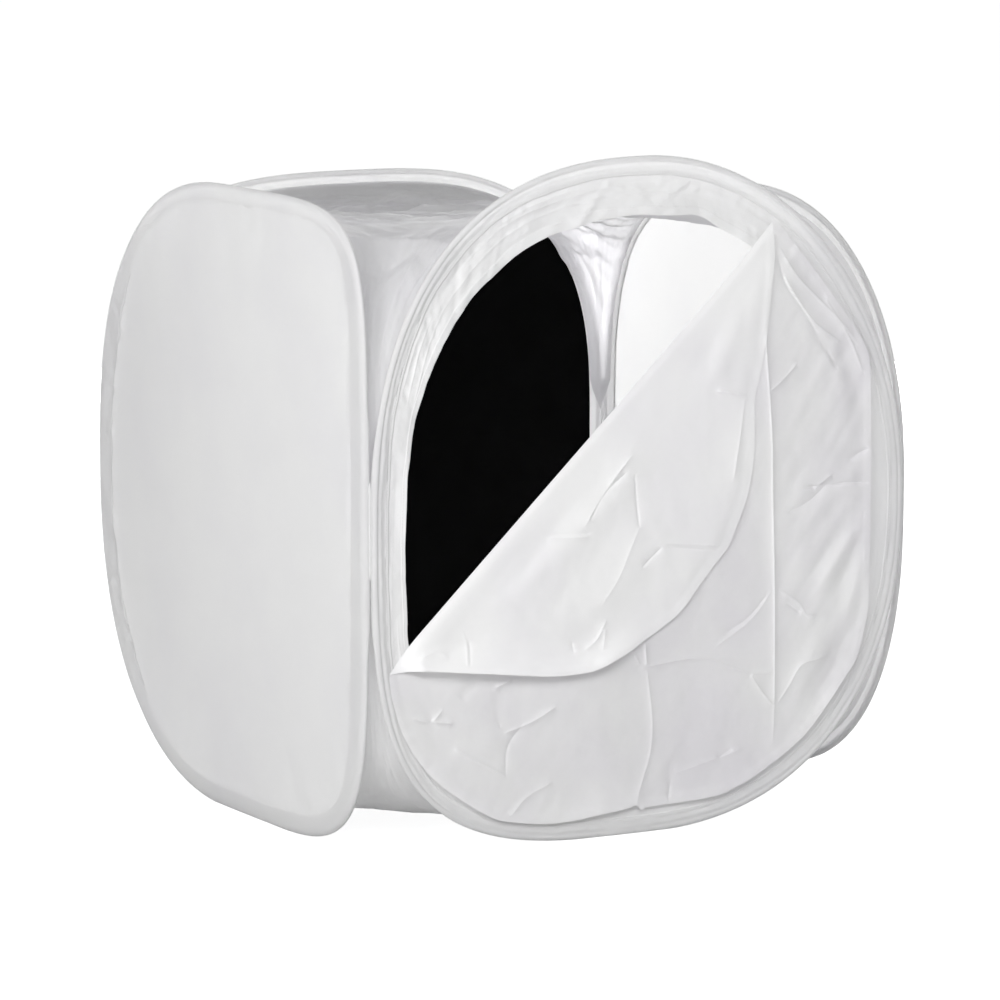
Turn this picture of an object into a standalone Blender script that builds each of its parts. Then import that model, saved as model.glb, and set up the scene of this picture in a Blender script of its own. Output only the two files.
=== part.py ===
"""A pop-up light tent cube: four spring hoops in sewn sleeves, joined at their upright corners into
a frame that folds like a parallelogram, with diffusing cloth walls, a door whose corner is folded
open and a black backdrop inside.

Metres, +Z up, front towards -Y. The origin is on the floor, under the middle of the cube.
"""

import math

import bmesh
import bpy
import numpy as np
from mathutils import Vector

# Running clearance that touching pieces keep
CLEARANCE = 0.0003

# Plan of the cube: the upright corner axes about which the frames fold
CORNER_AXIS_HALF = 0.288

# Heights of the hoops above and below their common centre
HOOP_DROP = 0.3086
FRONT_HOOP_RISE = 0.333
LEFT_HOOP_RISE = 0.296
RIGHT_HOOP_RISE = 0.2728
BACK_HOOP_RISE = 0.2755
# How far the sleeves are pressed into the floor, which leaves flat strips to stand on
FLOOR_SEAT = 0.0008

# Squareness of each corner of a hoop: upper far, upper near, lower near, lower far.
# 2 is an ellipse and 6 is nearly a square. The wires are pulled out of true by their neighbours.
FRONT_CORNER_POWERS = (2.0, 2.42, 3.42, 2.3)
LEFT_CORNER_POWERS = (2.4, 5.84, 5.19, 2.31)
RIGHT_CORNER_POWERS = (3.0, 2.33, 2.52, 3.0)
BACK_CORNER_POWERS = (2.84, 3.23, 3.37, 3.04)
HOOP_STATIONS = 44

# Cloth and tape
CLOTH = 0.00045
TAPE = 0.00055
SLEEVE_WALL = 0.0006
SLEEVE_WIDTH = 0.017
SLEEVE_NOSE_RADIUS = 0.0035
SLEEVE_THROAT_INSET = 0.0095
NOSE_STEPS = 5
NOSE_BORE_STEPS = 4

# Spring steel strip of a hoop, and the ferrule that joins its ends
STRIP_WIDTH = 0.0032
STRIP_THICKNESS = 0.0009
STRIP_END_GAP = 0.0006
FERRULE_LENGTH = 0.030
FERRULE_WALL = 0.0004
FERRULE_END_STEPS = 4

# Sewn binding up each corner, between two sleeves
CORNER_BINDING_RADIUS = 0.0012
CORNER_BINDING_HALF_HEIGHT = 0.045
CORNER_BINDING_SIDES = 10

# Top and bottom cloths: where they are sewn to the sleeves, and how they hang. The bottom one is
# slack enough for its middle to lie on the floor.
ROOF_SEAM_INSET = 0.013
TONGUE_TIP_HEIGHT = 0.012
ROOF_MIDDLE_RISE = 0.245
GROUND_SHEET_LIFT = 0.0005
GROUND_SHEET_SLACK = 0.018
CORNER_FULLNESS_POWER = 2.5
RELAXING_STEPS = 14

# Front opening and door, both shifted a little to the left of the hoop's middle. The margins are
# what each leaves to the outside of the hoop.
DOORWAY_SHIFT = -0.012
OPENING_SIDE_MARGIN = 0.046
OPENING_TOP_MARGIN = 0.054
OPENING_FOOT_MARGIN = 0.0466
OPENING_CORNER_POWERS = (2.1, 2.2, 3.0, 2.5)
DOOR_SIDE_MARGIN = 0.020
DOOR_TOP_MARGIN = 0.047
DOOR_FOOT_MARGIN = 0.0186
DOOR_CORNER_POWERS = (2.6, 2.2, 2.85, 2.6)
RING_EDGE_INSET = SLEEVE_THROAT_INSET + CLEARANCE

# Fold of the door's corner, a slanting line through a point left of the middle
FOLD_ANGLE = math.radians(43.8)
FOLD_MIDDLE_X = -0.069
FOLD_MIDDLE_RISE = 0.0635
FOLD_HALF_GAP = CLEARANCE / 2

# Hook and loop tape round the lower part of the opening
DOOR_TAPE_WIDTH = 0.012
DOOR_TAPE_MARGIN = 0.003
DOOR_TAPE_END_MARGIN = 0.030

# Black backdrop, and the strips that hold it to the back wall
BACKDROP_INSET = 0.0148
BACKDROP_STRIP_LENGTH = 0.300
BACKDROP_STRIP_WIDTH = 0.020
BACKDROP_STRIP_RISE = 0.215

# Edges that turn more sharply than this stay crisp
CRISP_EDGE = math.radians(50)

# Colours and finish: base colour, roughness, metallic
WHITE_CLOTH = ((0.86, 0.86, 0.87), 0.75, 0.0)
SLEEVE_CLOTH = ((0.83, 0.83, 0.84), 0.8, 0.0)
ROOF_CLOTH = ((0.80, 0.80, 0.82), 0.8, 0.0)
WHITE_TAPE = ((0.88, 0.88, 0.88), 0.95, 0.0)
BLACK_VELVET = ((0.008, 0.008, 0.009), 1.0, 0.0)
BLACK_TAPE = ((0.015, 0.015, 0.016), 0.95, 0.0)
SPRING_STEEL = ((0.42, 0.42, 0.44), 0.3, 1.0)
FERRULE_STEEL = ((0.62, 0.62, 0.63), 0.4, 1.0)

# Sizes that follow from those above
NOSE_TO_AXIS = SLEEVE_NOSE_RADIUS + CLEARANCE + CORNER_BINDING_RADIUS
AXIS_OFFSET = NOSE_TO_AXIS / math.sqrt(2)
FRAME_PLANE = CORNER_AXIS_HALF + AXIS_OFFSET
HOOP_HALF_WIDTH = CORNER_AXIS_HALF - AXIS_OFFSET + SLEEVE_NOSE_RADIUS
CENTRE_HEIGHT = HOOP_DROP - FLOOR_SEAT
OPENING_HALF_WIDTH = HOOP_HALF_WIDTH - OPENING_SIDE_MARGIN
OPENING_RISE = FRONT_HOOP_RISE - OPENING_TOP_MARGIN
OPENING_DROP = HOOP_DROP - OPENING_FOOT_MARGIN
DOOR_HALF_WIDTH = HOOP_HALF_WIDTH - DOOR_SIDE_MARGIN
DOOR_RISE = FRONT_HOOP_RISE - DOOR_TOP_MARGIN
DOOR_DROP = HOOP_DROP - DOOR_FOOT_MARGIN
LIP_INNER = CLOTH / 2 + CLEARANCE
LIP_OUTER = LIP_INNER + SLEEVE_WALL
NOSE_BORE_RADIUS = SLEEVE_NOSE_RADIUS - SLEEVE_WALL
SEAM_FACE = LIP_OUTER + CLEARANCE + CLOTH / 2

# Layers in front of the opening ring, counted out from the front frame's middle plane
RING_TAPE_FACE = CLOTH / 2 + CLEARANCE
DOOR_TAPE_FACE = RING_TAPE_FACE + TAPE + CLEARANCE
DOOR_FACE = DOOR_TAPE_FACE + TAPE + CLEARANCE
FLAP_FACE = DOOR_FACE + CLOTH + CLEARANCE
FOLD_AXIS_FACE = DOOR_FACE + CLOTH + CLEARANCE / 2

# The ferrule lies where its rounded ends clear the bore of the sleeve's nose
FERRULE_BORE_HALF = STRIP_THICKNESS / 2 + CLEARANCE
FERRULE_HALF_THICKNESS = FERRULE_BORE_HALF + FERRULE_WALL
FERRULE_SIDE = STRIP_WIDTH / 2 + CLEARANCE
FERRULE_ROUND_CENTRE = FERRULE_SIDE + FERRULE_WALL - FERRULE_HALF_THICKNESS
NOSE_BORE_ROOM = NOSE_BORE_RADIUS * math.cos(math.pi / (2 * NOSE_BORE_STEPS)) - CLEARANCE
STRIP_SEAT = SLEEVE_NOSE_RADIUS - math.sqrt(
    (NOSE_BORE_ROOM - FERRULE_HALF_THICKNESS) ** 2 - FERRULE_ROUND_CENTRE**2
)


class Outline:
    """A closed curve of four superellipse quarters, as stations in a plane, with its normals."""

    def __init__(self, half_width, rise, drop, powers, shift=0.0, turn_share=0.5):
        upper_far, upper_near, lower_near, lower_far = powers
        points = []
        for step in range(HOOP_STATIONS):
            angle = 2 * math.pi * (step + turn_share) / HOOP_STATIONS
            across, up = math.cos(angle), math.sin(angle)
            if up >= 0:
                power = upper_far if across >= 0 else upper_near
            else:
                power = lower_far if across >= 0 else lower_near
            x = half_width * math.copysign(abs(across) ** (2 / power), across)
            z = (rise if up >= 0 else drop) * math.copysign(abs(up) ** (2 / power), up)
            points.append((x + shift, z))
        self.points = np.array(points)
        before = np.roll(self.points, 1, axis=0)
        after = np.roll(self.points, -1, axis=0)
        self.mitres = mitres(before, self.points, after)

    def inset(self, depth):
        """The outline moved inwards by depth."""
        return self.points + self.mitres * depth


def mitres(before, here, after):
    """Vectors that move each corner of a counter-clockwise outline one unit inwards."""

    def inward(start, end):
        along = (end - start) / np.linalg.norm(end - start, axis=1)[:, None]
        return np.stack([-along[:, 1], along[:, 0]], axis=1)

    first, second = inward(before, here), inward(here, after)
    middle = first + second
    middle /= np.linalg.norm(middle, axis=1)[:, None]
    return middle / np.sum(middle * first, axis=1)[:, None]


class Frame:
    """A hoop's upright plane. Across runs along it, and out points away from the cube's middle."""

    def __init__(self, across, out, rise, powers):
        self.across = np.array(across, dtype=float)
        self.out = np.array(out, dtype=float)
        self.middle = self.out * FRAME_PLANE + np.array((0, 0, CENTRE_HEIGHT))
        self.hoop = Outline(HOOP_HALF_WIDTH, rise, HOOP_DROP, powers)

    def place(self, flat, out=0.0):
        """World points of flat (across, up) points, at a distance out of the middle plane."""
        flat = np.asarray(flat, dtype=float)
        upright = np.array((0.0, 0.0, 1.0))
        return self.middle + flat[:, :1] * self.across + flat[:, 1:2] * upright + self.out * out


FRONT = Frame((1, 0, 0), (0, -1, 0), FRONT_HOOP_RISE, FRONT_CORNER_POWERS)
LEFT = Frame((0, 1, 0), (-1, 0, 0), LEFT_HOOP_RISE, LEFT_CORNER_POWERS)
RIGHT = Frame((0, 1, 0), (1, 0, 0), RIGHT_HOOP_RISE, RIGHT_CORNER_POWERS)
BACK = Frame((1, 0, 0), (0, 1, 0), BACK_HOOP_RISE, BACK_CORNER_POWERS)
FRAMES = {"front": FRONT, "left": LEFT, "right": RIGHT, "back": BACK}


def clear_scene():
    for obj in list(bpy.data.objects):
        bpy.data.objects.remove(obj)


def material(name, finish):
    colour, roughness, metallic = finish
    made = bpy.data.materials.new(name)
    made.use_nodes = True
    shader = made.node_tree.nodes["Principled BSDF"]
    shader.inputs["Base Color"].default_value = (*colour, 1.0)
    shader.inputs["Roughness"].default_value = roughness
    shader.inputs["Metallic"].default_value = metallic
    made.diffuse_color = (*colour, 1.0)
    return made


def pivot(name, place, parent=None):
    """An empty on a joint's axis, which carries the pieces that turn about it."""
    empty = bpy.data.objects.new(name, None)
    bpy.context.scene.collection.objects.link(empty)
    offset = Vector(place) - Vector(parent["place"]) if parent else Vector(place)
    empty.location = offset
    if parent:
        empty.parent = parent["empty"]
    return {"empty": empty, "place": tuple(place)}


def piece(name, points, faces, finish, carrier=None, smooth=False):
    """One solid from world points, carried by a pivot where it moves."""
    base = Vector(carrier["place"]) if carrier else Vector((0, 0, 0))
    shape = bmesh.new()
    corners = [shape.verts.new(Vector(point) - base) for point in points]
    for face in faces:
        shape.faces.new([corners[index] for index in face])
    bmesh.ops.recalc_face_normals(shape, faces=shape.faces)
    if shape.calc_volume(signed=True) < 0:
        bmesh.ops.reverse_faces(shape, faces=shape.faces)
    mesh = bpy.data.meshes.new(name)
    shape.to_mesh(mesh)
    shape.free()
    if smooth:
        mesh.shade_smooth()
        mesh.set_sharp_from_angle(angle=CRISP_EDGE)
    mesh.materials.append(material(name, finish))
    made = bpy.data.objects.new(name, mesh)
    bpy.context.scene.collection.objects.link(made)
    if carrier:
        made.parent = carrier["empty"]
    return made


def lofted(rings, closed):
    """Faces between rings of equally many points. A closed loft joins its last ring to its first."""
    count, size = len(rings), len(rings[0])
    faces = []
    for ring in range(count if closed else count - 1):
        here, there = ring * size, (ring + 1) % count * size
        for corner in range(size):
            beside = (corner + 1) % size
            faces.append((here + corner, here + beside, there + beside, there + corner))
    if not closed:
        faces.append(tuple(range(size)))
        faces.append(tuple(range((count - 1) * size, count * size)))
    return np.concatenate(rings), faces


def swept(frame, stations, inward, section, closed=True):
    """A section of (inset, out) points swept along flat stations of a frame."""
    columns = [frame.place(stations + inward * inset, out) for inset, out in section]
    rings = [np.array([column[index] for column in columns]) for index in range(len(stations))]
    return lofted(rings, closed)


def slab(frame, flat, low, high):
    """A flat cloth with the outline flat, between two distances out of the frame's plane."""
    return lofted([frame.place(flat, low), frame.place(flat, high)], closed=False)


def arc_section(radius, centre, start, end, steps):
    """Points (inset, out) round a centre, from one angle to another, 0 pointing outwards."""
    turns = [start + (end - start) * step / steps for step in range(steps + 1)]
    return [(centre - radius * math.cos(turn), radius * math.sin(turn)) for turn in turns]


def sleeve_section():
    """A folded strip: a round nose over the wire, and two lips that hold the wall's edge."""
    outer = [(SLEEVE_WIDTH, -LIP_OUTER), (SLEEVE_THROAT_INSET, -LIP_OUTER)]
    outer += arc_section(SLEEVE_NOSE_RADIUS, SLEEVE_NOSE_RADIUS, -math.pi / 2, math.pi / 2, NOSE_STEPS)
    outer += [(SLEEVE_THROAT_INSET, LIP_OUTER), (SLEEVE_WIDTH, LIP_OUTER)]
    inner = [(SLEEVE_WIDTH, LIP_INNER), (SLEEVE_THROAT_INSET, LIP_INNER)]
    inner += arc_section(
        NOSE_BORE_RADIUS, SLEEVE_NOSE_RADIUS, math.pi / 2, -math.pi / 2, NOSE_BORE_STEPS
    )
    inner += [(SLEEVE_THROAT_INSET, -LIP_INNER), (SLEEVE_WIDTH, -LIP_INNER)]
    return outer + inner


def make_sleeve(name, frame, carrier):
    points, faces = swept(frame, frame.hoop.points, frame.hoop.mitres, sleeve_section())
    points[:, 2] = np.maximum(points[:, 2], 0)
    piece(name, points, faces, SLEEVE_CLOTH, carrier, smooth=True)


def hoop_path(frame):
    """Stations from the middle of the lowest stretch once round, open by the gap of the strip's ends."""
    lowest = HOOP_STATIONS * 3 // 4
    order = [(lowest + step) % HOOP_STATIONS for step in range(HOOP_STATIONS)]
    round_trip = frame.hoop.points[order]
    turns = frame.hoop.mitres[order]
    last, first = round_trip[-1], round_trip[0]
    along = (first - last) / np.linalg.norm(first - last)
    middle = (first + last) / 2
    square = np.array((-along[1], along[0]))
    stations = np.vstack(
        [middle + along * STRIP_END_GAP / 2, round_trip, middle - along * STRIP_END_GAP / 2]
    )
    return stations, np.vstack([square, turns, square]), middle, along, square


def make_hoop(name, frame, carrier):
    stations, inward, _, _, _ = hoop_path(frame)
    near, far = STRIP_SEAT - STRIP_THICKNESS / 2, STRIP_SEAT + STRIP_THICKNESS / 2
    section = [
        (near, -STRIP_WIDTH / 2),
        (near, STRIP_WIDTH / 2),
        (far, STRIP_WIDTH / 2),
        (far, -STRIP_WIDTH / 2),
    ]
    points, faces = swept(frame, stations, inward, section, closed=False)
    piece(name, points, faces, SPRING_STEEL, carrier, smooth=True)


def make_ferrule(name, frame, carrier):
    """A flattened tube crimped over the strip's two ends."""
    _, _, middle, along, square = hoop_path(frame)
    stations = np.array([middle - along * FERRULE_LENGTH / 2, middle + along * FERRULE_LENGTH / 2])
    inward = np.array([square, square])
    outer = []
    inner = []
    for side in (1, -1):
        for step in range(FERRULE_END_STEPS + 1):
            turn = side * (math.pi / 2 - math.pi * step / FERRULE_END_STEPS)
            bulge = abs(math.cos(turn))
            rise = math.sin(turn)
            outer.append(
                (
                    STRIP_SEAT + FERRULE_HALF_THICKNESS * rise,
                    side * (FERRULE_ROUND_CENTRE + FERRULE_HALF_THICKNESS * bulge),
                )
            )
            corner = FERRULE_SIDE if 0 < step < FERRULE_END_STEPS else FERRULE_ROUND_CENTRE
            inner.append((STRIP_SEAT + FERRULE_BORE_HALF * clamp_rise(rise), side * corner))
    size = len(outer)
    rings = []
    for section in (outer, inner):
        columns = [frame.place(stations + inward * inset, out) for inset, out in section]
        rings += [np.array([column[end] for column in columns]) for end in (0, 1)]
    points = np.concatenate(rings)
    outer_start, outer_end, inner_start, inner_end = (size * ring for ring in range(4))
    faces = []
    for corner in range(size):
        beside = (corner + 1) % size
        for one, other in (
            (outer_start, outer_end),
            (inner_start, inner_end),
            (outer_start, inner_start),
            (outer_end, inner_end),
        ):
            faces.append((one + corner, one + beside, other + beside, other + corner))
    piece(name, points, faces, FERRULE_STEEL, carrier, smooth=True)


def clamp_rise(rise):
    """The ferrule's bore is a slot, square at its corners, so a rise counts in full or not at all."""
    return 0.0 if abs(rise) < 1e-6 else math.copysign(1.0, rise)


def make_wall(name, frame, carrier):
    points, faces = slab(frame, frame.hoop.inset(RING_EDGE_INSET), -CLOTH / 2, CLOTH / 2)
    piece(name, points, faces, WHITE_CLOTH, carrier)


def make_opening_ring(opening, carrier):
    outer = FRONT.hoop.inset(RING_EDGE_INSET)
    rings = []
    for index in range(HOOP_STATIONS):
        edge = np.array([outer[index], opening.points[index]])
        low, high = FRONT.place(edge, -CLOTH / 2), FRONT.place(edge, CLOTH / 2)
        rings.append(np.array([low[0], low[1], high[1], high[0]]))
    points, faces = lofted(rings, closed=True)
    piece("front_opening_ring", points, faces, WHITE_CLOTH, carrier)


def make_corner_binding(name, place, carrier):
    """A round bound seam on a corner axis, with the two sleeves' noses resting against it."""
    rings = []
    for height in (-CORNER_BINDING_HALF_HEIGHT, CORNER_BINDING_HALF_HEIGHT):
        ring = []
        for side in range(CORNER_BINDING_SIDES):
            turn = 2 * math.pi * (side + 0.5) / CORNER_BINDING_SIDES
            ring.append(
                (
                    place[0] + CORNER_BINDING_RADIUS * math.cos(turn),
                    place[1] + CORNER_BINDING_RADIUS * math.sin(turn),
                    CENTRE_HEIGHT + height,
                )
            )
        rings.append(np.array(ring))
    points, faces = lofted(rings, closed=False)
    piece(name, points, faces, SLEEVE_CLOTH, carrier, smooth=True)


def seam_run(frame, upper):
    """Stations of half a hoop where a top or bottom cloth is sewn on, from near to far."""
    line = frame.hoop.inset(ROOF_SEAM_INSET)
    half = HOOP_STATIONS // 2
    chosen = line[:half][::-1] if upper else line[half:]
    return frame.place(chosen, -SEAM_FACE)


def tongue_tip(one, other, upper):
    """The point in a corner where a cloth's tongue ends, midway between the two sleeves' seams."""
    middle = (one + other) / 2
    rise = TONGUE_TIP_HEIGHT if upper else -TONGUE_TIP_HEIGHT
    return np.array((middle[0], middle[1], CENTRE_HEIGHT + rise))


def corner_quarter(run, other_run, middle_height):
    """A quarter of a sheet, from its tongue's tip. Near the tip, each row is a straight stretch
    between the two hoops. Towards the middle the rows fill out to right angles."""
    size = len(run)
    quarter = np.zeros((size, size, 3))
    for row in range(size):
        fullness = (row / (size - 1)) ** CORNER_FULLNESS_POWER
        one, other = run[row], other_run[row]
        height = (1 - fullness) * (one[2] + other[2]) / 2 + fullness * middle_height
        bend = np.array((one[0], other[1], height))
        for step in range(row + 1):
            share = step / (2 * row) if row else 0
            along = step / row if row else 0
            for cell, start, end in (((row, step), one, other), ((step, row), other, one)):
                straight = (1 - share) * start + share * end
                square = (1 - along) * start + along * bend
                quarter[cell] = (1 - fullness) * straight + fullness * square
    return quarter


def stretched_sheet(upper, middle_height, lowest):
    """A cloth stretched over four half hoops: its corners taper into tongues between the sleeves.
    Its middle is drawn to a height, but never below the lowest one."""
    front, back = seam_run(FRONT, upper), seam_run(BACK, upper)
    left, right = seam_run(LEFT, upper), seam_run(RIGHT, upper)
    half = HOOP_STATIONS // 4 + 1
    size = 2 * half
    sheet = np.zeros((size, size, 3))
    for across, side_run in ((1, left), (-1, right)):
        for depth, face_run in ((1, front), (-1, back)):
            face = face_run[::across][: half - 1]
            side = side_run[::depth][: half - 1]
            tip = tongue_tip(face[0], side[0], upper)
            runs = np.vstack([tip, face]), np.vstack([tip, side])
            sheet[::across, ::depth][:half, :half] = corner_quarter(*runs, middle_height)
    for _ in range(RELAXING_STEPS):
        around = sheet[:-2, 1:-1] + sheet[2:, 1:-1] + sheet[1:-1, :-2] + sheet[1:-1, 2:]
        sheet[1:-1, 1:-1] = around / 4
    sheet[:, :, 2] = np.maximum(sheet[:, :, 2], lowest)
    return sheet


def sheet_normals(sheet):
    along = np.gradient(sheet, axis=0)
    across = np.gradient(sheet, axis=1)
    normals = np.cross(along, across)
    return normals / np.linalg.norm(normals, axis=2)[:, :, None]


def make_sheet(name, sheet, finish, carrier=None):
    """A thin solid, half the cloth's thickness to each side of a square grid of points."""
    size = sheet.shape[0]
    normals = sheet_normals(sheet)
    sides = [(sheet + normals * CLOTH / 2 * side).reshape(-1, 3) for side in (1, -1)]
    points = np.concatenate(sides)
    under = size * size
    faces = []
    for i in range(size - 1):
        for j in range(size - 1):
            corner = i * size + j
            opposite = corner + size + 1
            # Both sides are split along the same diagonal, so a twisted square can't cross itself
            for half in ((corner, corner + 1, opposite), (corner, opposite, corner + size)):
                faces.append(half)
                faces.append(tuple(index + under for index in reversed(half)))
    rim = list(range(size))
    rim += [i * size + size - 1 for i in range(1, size)]
    rim += [(size - 1) * size + j for j in range(size - 2, -1, -1)]
    rim += [i * size for i in range(size - 2, 0, -1)]
    for here, there in zip(rim, rim[1:] + rim[:1]):
        faces.append((here, there, there + under, here + under))
    piece(name, points, faces, finish, carrier, smooth=True)


def fold_line():
    """A point on the door's fold, and the unit vectors along it and towards the folded corner."""
    point = np.array((FOLD_MIDDLE_X, FOLD_MIDDLE_RISE))
    along = np.array((math.cos(FOLD_ANGLE), math.sin(FOLD_ANGLE)))
    return point, along, np.array((-along[1], along[0]))


def cut_outline(points, side):
    """The part of an outline on one side of the fold, which keeps half a clearance to it."""
    origin, _, towards_corner = fold_line()
    reach = side * ((points - origin) @ towards_corner) - FOLD_HALF_GAP
    kept = []
    for index, here in enumerate(points):
        beside = (index + 1) % len(points)
        if reach[index] >= 0:
            kept.append(here)
        if (reach[index] >= 0) != (reach[beside] >= 0):
            share = reach[index] / (reach[index] - reach[beside])
            kept.append(here + share * (points[beside] - here))
    return np.array(kept)


def folded_over(points):
    """Flat points mirrored in the fold."""
    origin, _, towards_corner = fold_line()
    reach = (points - origin) @ towards_corner
    return points - 2 * reach[:, None] * towards_corner


def make_door(door, carrier, flap_carrier):
    lower = cut_outline(door.points, -1)
    points, faces = slab(FRONT, lower, DOOR_FACE, DOOR_FACE + CLOTH)
    piece("door_lower_panel", points, faces, WHITE_CLOTH, carrier)
    corner = folded_over(cut_outline(door.points, 1))
    points, faces = slab(FRONT, corner, FLAP_FACE, FLAP_FACE + CLOTH)
    piece("door_corner_flap", points, faces, WHITE_CLOTH, flap_carrier)


def make_door_tape(name, opening, face, carrier):
    """Tape along the opening's edge, from the fold's lower end round to its upper end."""
    origin, _, towards_corner = fold_line()
    below = (opening.points - origin) @ towards_corner < -DOOR_TAPE_END_MARGIN
    start = next(
        index for index in range(HOOP_STATIONS) if below[index] and not below[index - 1]
    )
    order = [(start + step) % HOOP_STATIONS for step in range(int(below.sum()))]
    near, far = -DOOR_TAPE_MARGIN, -DOOR_TAPE_MARGIN - DOOR_TAPE_WIDTH
    section = [(near, face), (far, face), (far, face + TAPE), (near, face + TAPE)]
    points, faces = swept(FRONT, opening.points[order], opening.mitres[order], section, closed=False)
    piece(name, points, faces, WHITE_TAPE, carrier)


def make_backdrop():
    face = CLOTH / 2 + CLEARANCE
    hook_face = face + TAPE + CLEARANCE
    cloth_face = hook_face + TAPE + CLEARANCE
    flat = BACK.hoop.inset(BACKDROP_INSET)
    points, faces = slab(BACK, flat, -cloth_face - CLOTH, -cloth_face)
    piece("backdrop_cloth", points, faces, BLACK_VELVET)
    for level, rise in (("upper", BACKDROP_STRIP_RISE), ("lower", -BACKDROP_STRIP_RISE)):
        strip = np.array(
            [
                (-BACKDROP_STRIP_LENGTH / 2, rise - BACKDROP_STRIP_WIDTH / 2),
                (BACKDROP_STRIP_LENGTH / 2, rise - BACKDROP_STRIP_WIDTH / 2),
                (BACKDROP_STRIP_LENGTH / 2, rise + BACKDROP_STRIP_WIDTH / 2),
                (-BACKDROP_STRIP_LENGTH / 2, rise + BACKDROP_STRIP_WIDTH / 2),
            ]
        )
        points, faces = slab(BACK, strip, -face - TAPE, -face)
        piece(f"back_loop_strip_{level}", points, faces, WHITE_TAPE)
        points, faces = slab(BACK, strip, -hook_face - TAPE, -hook_face)
        piece(f"backdrop_hook_strip_{level}", points, faces, BLACK_TAPE)


def main():
    clear_scene()
    half = CORNER_AXIS_HALF
    left_pivot = pivot("left_frame_pivot", (-half, half, 0))
    right_pivot = pivot("right_frame_pivot", (half, half, 0))
    front_pivot = pivot("front_frame_pivot", (-half, -half, 0), left_pivot)
    door_slide = pivot("door_slide", (0, -FRAME_PLANE - DOOR_FACE, CENTRE_HEIGHT), front_pivot)
    origin, _, _ = fold_line()
    fold_place = FRONT.place([origin], FOLD_AXIS_FACE)[0]
    flap_pivot = pivot("door_fold_pivot", fold_place, door_slide)
    carriers = {"front": front_pivot, "left": left_pivot, "right": right_pivot, "back": None}

    for side, frame in FRAMES.items():
        make_hoop(f"{side}_spring_hoop", frame, carriers[side])
        make_ferrule(f"{side}_hoop_ferrule", frame, carriers[side])
        make_sleeve(f"{side}_sleeve", frame, carriers[side])
        if side != "front":
            make_wall(f"{side}_panel", frame, carriers[side])

    make_corner_binding("front_left_binding", (-half, -half), left_pivot)
    make_corner_binding("front_right_binding", (half, -half), right_pivot)
    make_corner_binding("back_left_binding", (-half, half), None)
    make_corner_binding("back_right_binding", (half, half), None)

    top = stretched_sheet(True, CENTRE_HEIGHT + ROOF_MIDDLE_RISE, -math.inf)
    make_sheet("top_panel", top, ROOF_CLOTH)
    ground = GROUND_SHEET_LIFT + CLOTH / 2
    bottom = stretched_sheet(False, ground - GROUND_SHEET_SLACK, ground)
    make_sheet("bottom_panel", bottom, ROOF_CLOTH)

    opening = Outline(
        OPENING_HALF_WIDTH, OPENING_RISE, OPENING_DROP, OPENING_CORNER_POWERS, DOORWAY_SHIFT
    )
    door = Outline(DOOR_HALF_WIDTH, DOOR_RISE, DOOR_DROP, DOOR_CORNER_POWERS, DOORWAY_SHIFT)
    make_opening_ring(opening, front_pivot)
    make_door_tape("ring_loop_tape", opening, RING_TAPE_FACE, front_pivot)
    make_door_tape("door_hook_tape", opening, DOOR_TAPE_FACE, door_slide)
    make_door(door, door_slide, flap_pivot)
    make_backdrop()


main()
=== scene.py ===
"""The looks of the light tent cube: sleeves, walls, door, top and bottom cloths, backdrop and tapes
as cloth surfaces over the CAD frame, with their materials, the floor, the lamps and the camera."""

import math

import bpy
import numpy as np
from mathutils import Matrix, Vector
from mathutils.geometry import delaunay_2d_cdt


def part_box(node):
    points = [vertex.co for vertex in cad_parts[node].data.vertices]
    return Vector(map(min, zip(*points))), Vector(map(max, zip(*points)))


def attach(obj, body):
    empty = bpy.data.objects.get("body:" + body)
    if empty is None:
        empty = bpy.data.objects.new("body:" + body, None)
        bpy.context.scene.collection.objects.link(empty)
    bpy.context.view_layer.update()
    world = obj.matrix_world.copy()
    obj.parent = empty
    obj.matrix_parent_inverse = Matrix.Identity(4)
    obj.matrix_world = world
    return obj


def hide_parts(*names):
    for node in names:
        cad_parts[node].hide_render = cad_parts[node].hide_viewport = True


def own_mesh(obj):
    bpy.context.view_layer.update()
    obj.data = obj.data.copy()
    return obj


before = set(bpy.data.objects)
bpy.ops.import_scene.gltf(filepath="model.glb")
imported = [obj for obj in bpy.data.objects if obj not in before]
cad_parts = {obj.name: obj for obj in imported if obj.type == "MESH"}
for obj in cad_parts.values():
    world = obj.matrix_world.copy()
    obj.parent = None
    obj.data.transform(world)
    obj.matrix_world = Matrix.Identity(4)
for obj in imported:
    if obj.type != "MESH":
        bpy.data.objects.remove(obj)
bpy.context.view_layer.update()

MM = 0.001

# -------- the frame's own sizes, in metres
PLANE = 0.2915355     # the middle of the tent to each hoop's plane
CENTRE = 0.3078       # the height of the hoops' centres
HALF = 0.2879645      # half of a hoop's width
DROP = 0.3086         # a hoop's centre to its lowest stretch
AXIS = 0.288          # the middle of the tent to each fold axis, along x and along y
# Each hoop's rise over its centre, and the powers of its corners: upper far, upper near, lower
# near and lower far
HOOPS = {
    "front": (0.333, (2.0, 2.42, 3.42, 2.3)),
    "left": (0.296, (2.4, 5.84, 5.19, 2.31)),
    "right": (0.2728, (3.0, 2.33, 2.52, 3.0)),
    "back": (0.2755, (2.84, 3.23, 3.37, 3.04)),
}
STATIONS = 44         # points round a hoop where the top and bottom cloths are sewn on
SEAM_WAY_IN = 0.013
SEAM_OFF_PLANE = 1.65 * MM
ACROSS = {"front": (1, 0), "left": (0, 1), "right": (0, 1), "back": (1, 0)}
OUTWARD = {"front": (0, -1), "left": (-1, 0), "right": (1, 0), "back": (0, 1)}
BODY = {"front": "front_frame", "left": "left_frame", "right": "right_frame", "back": "back_frame"}


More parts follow.
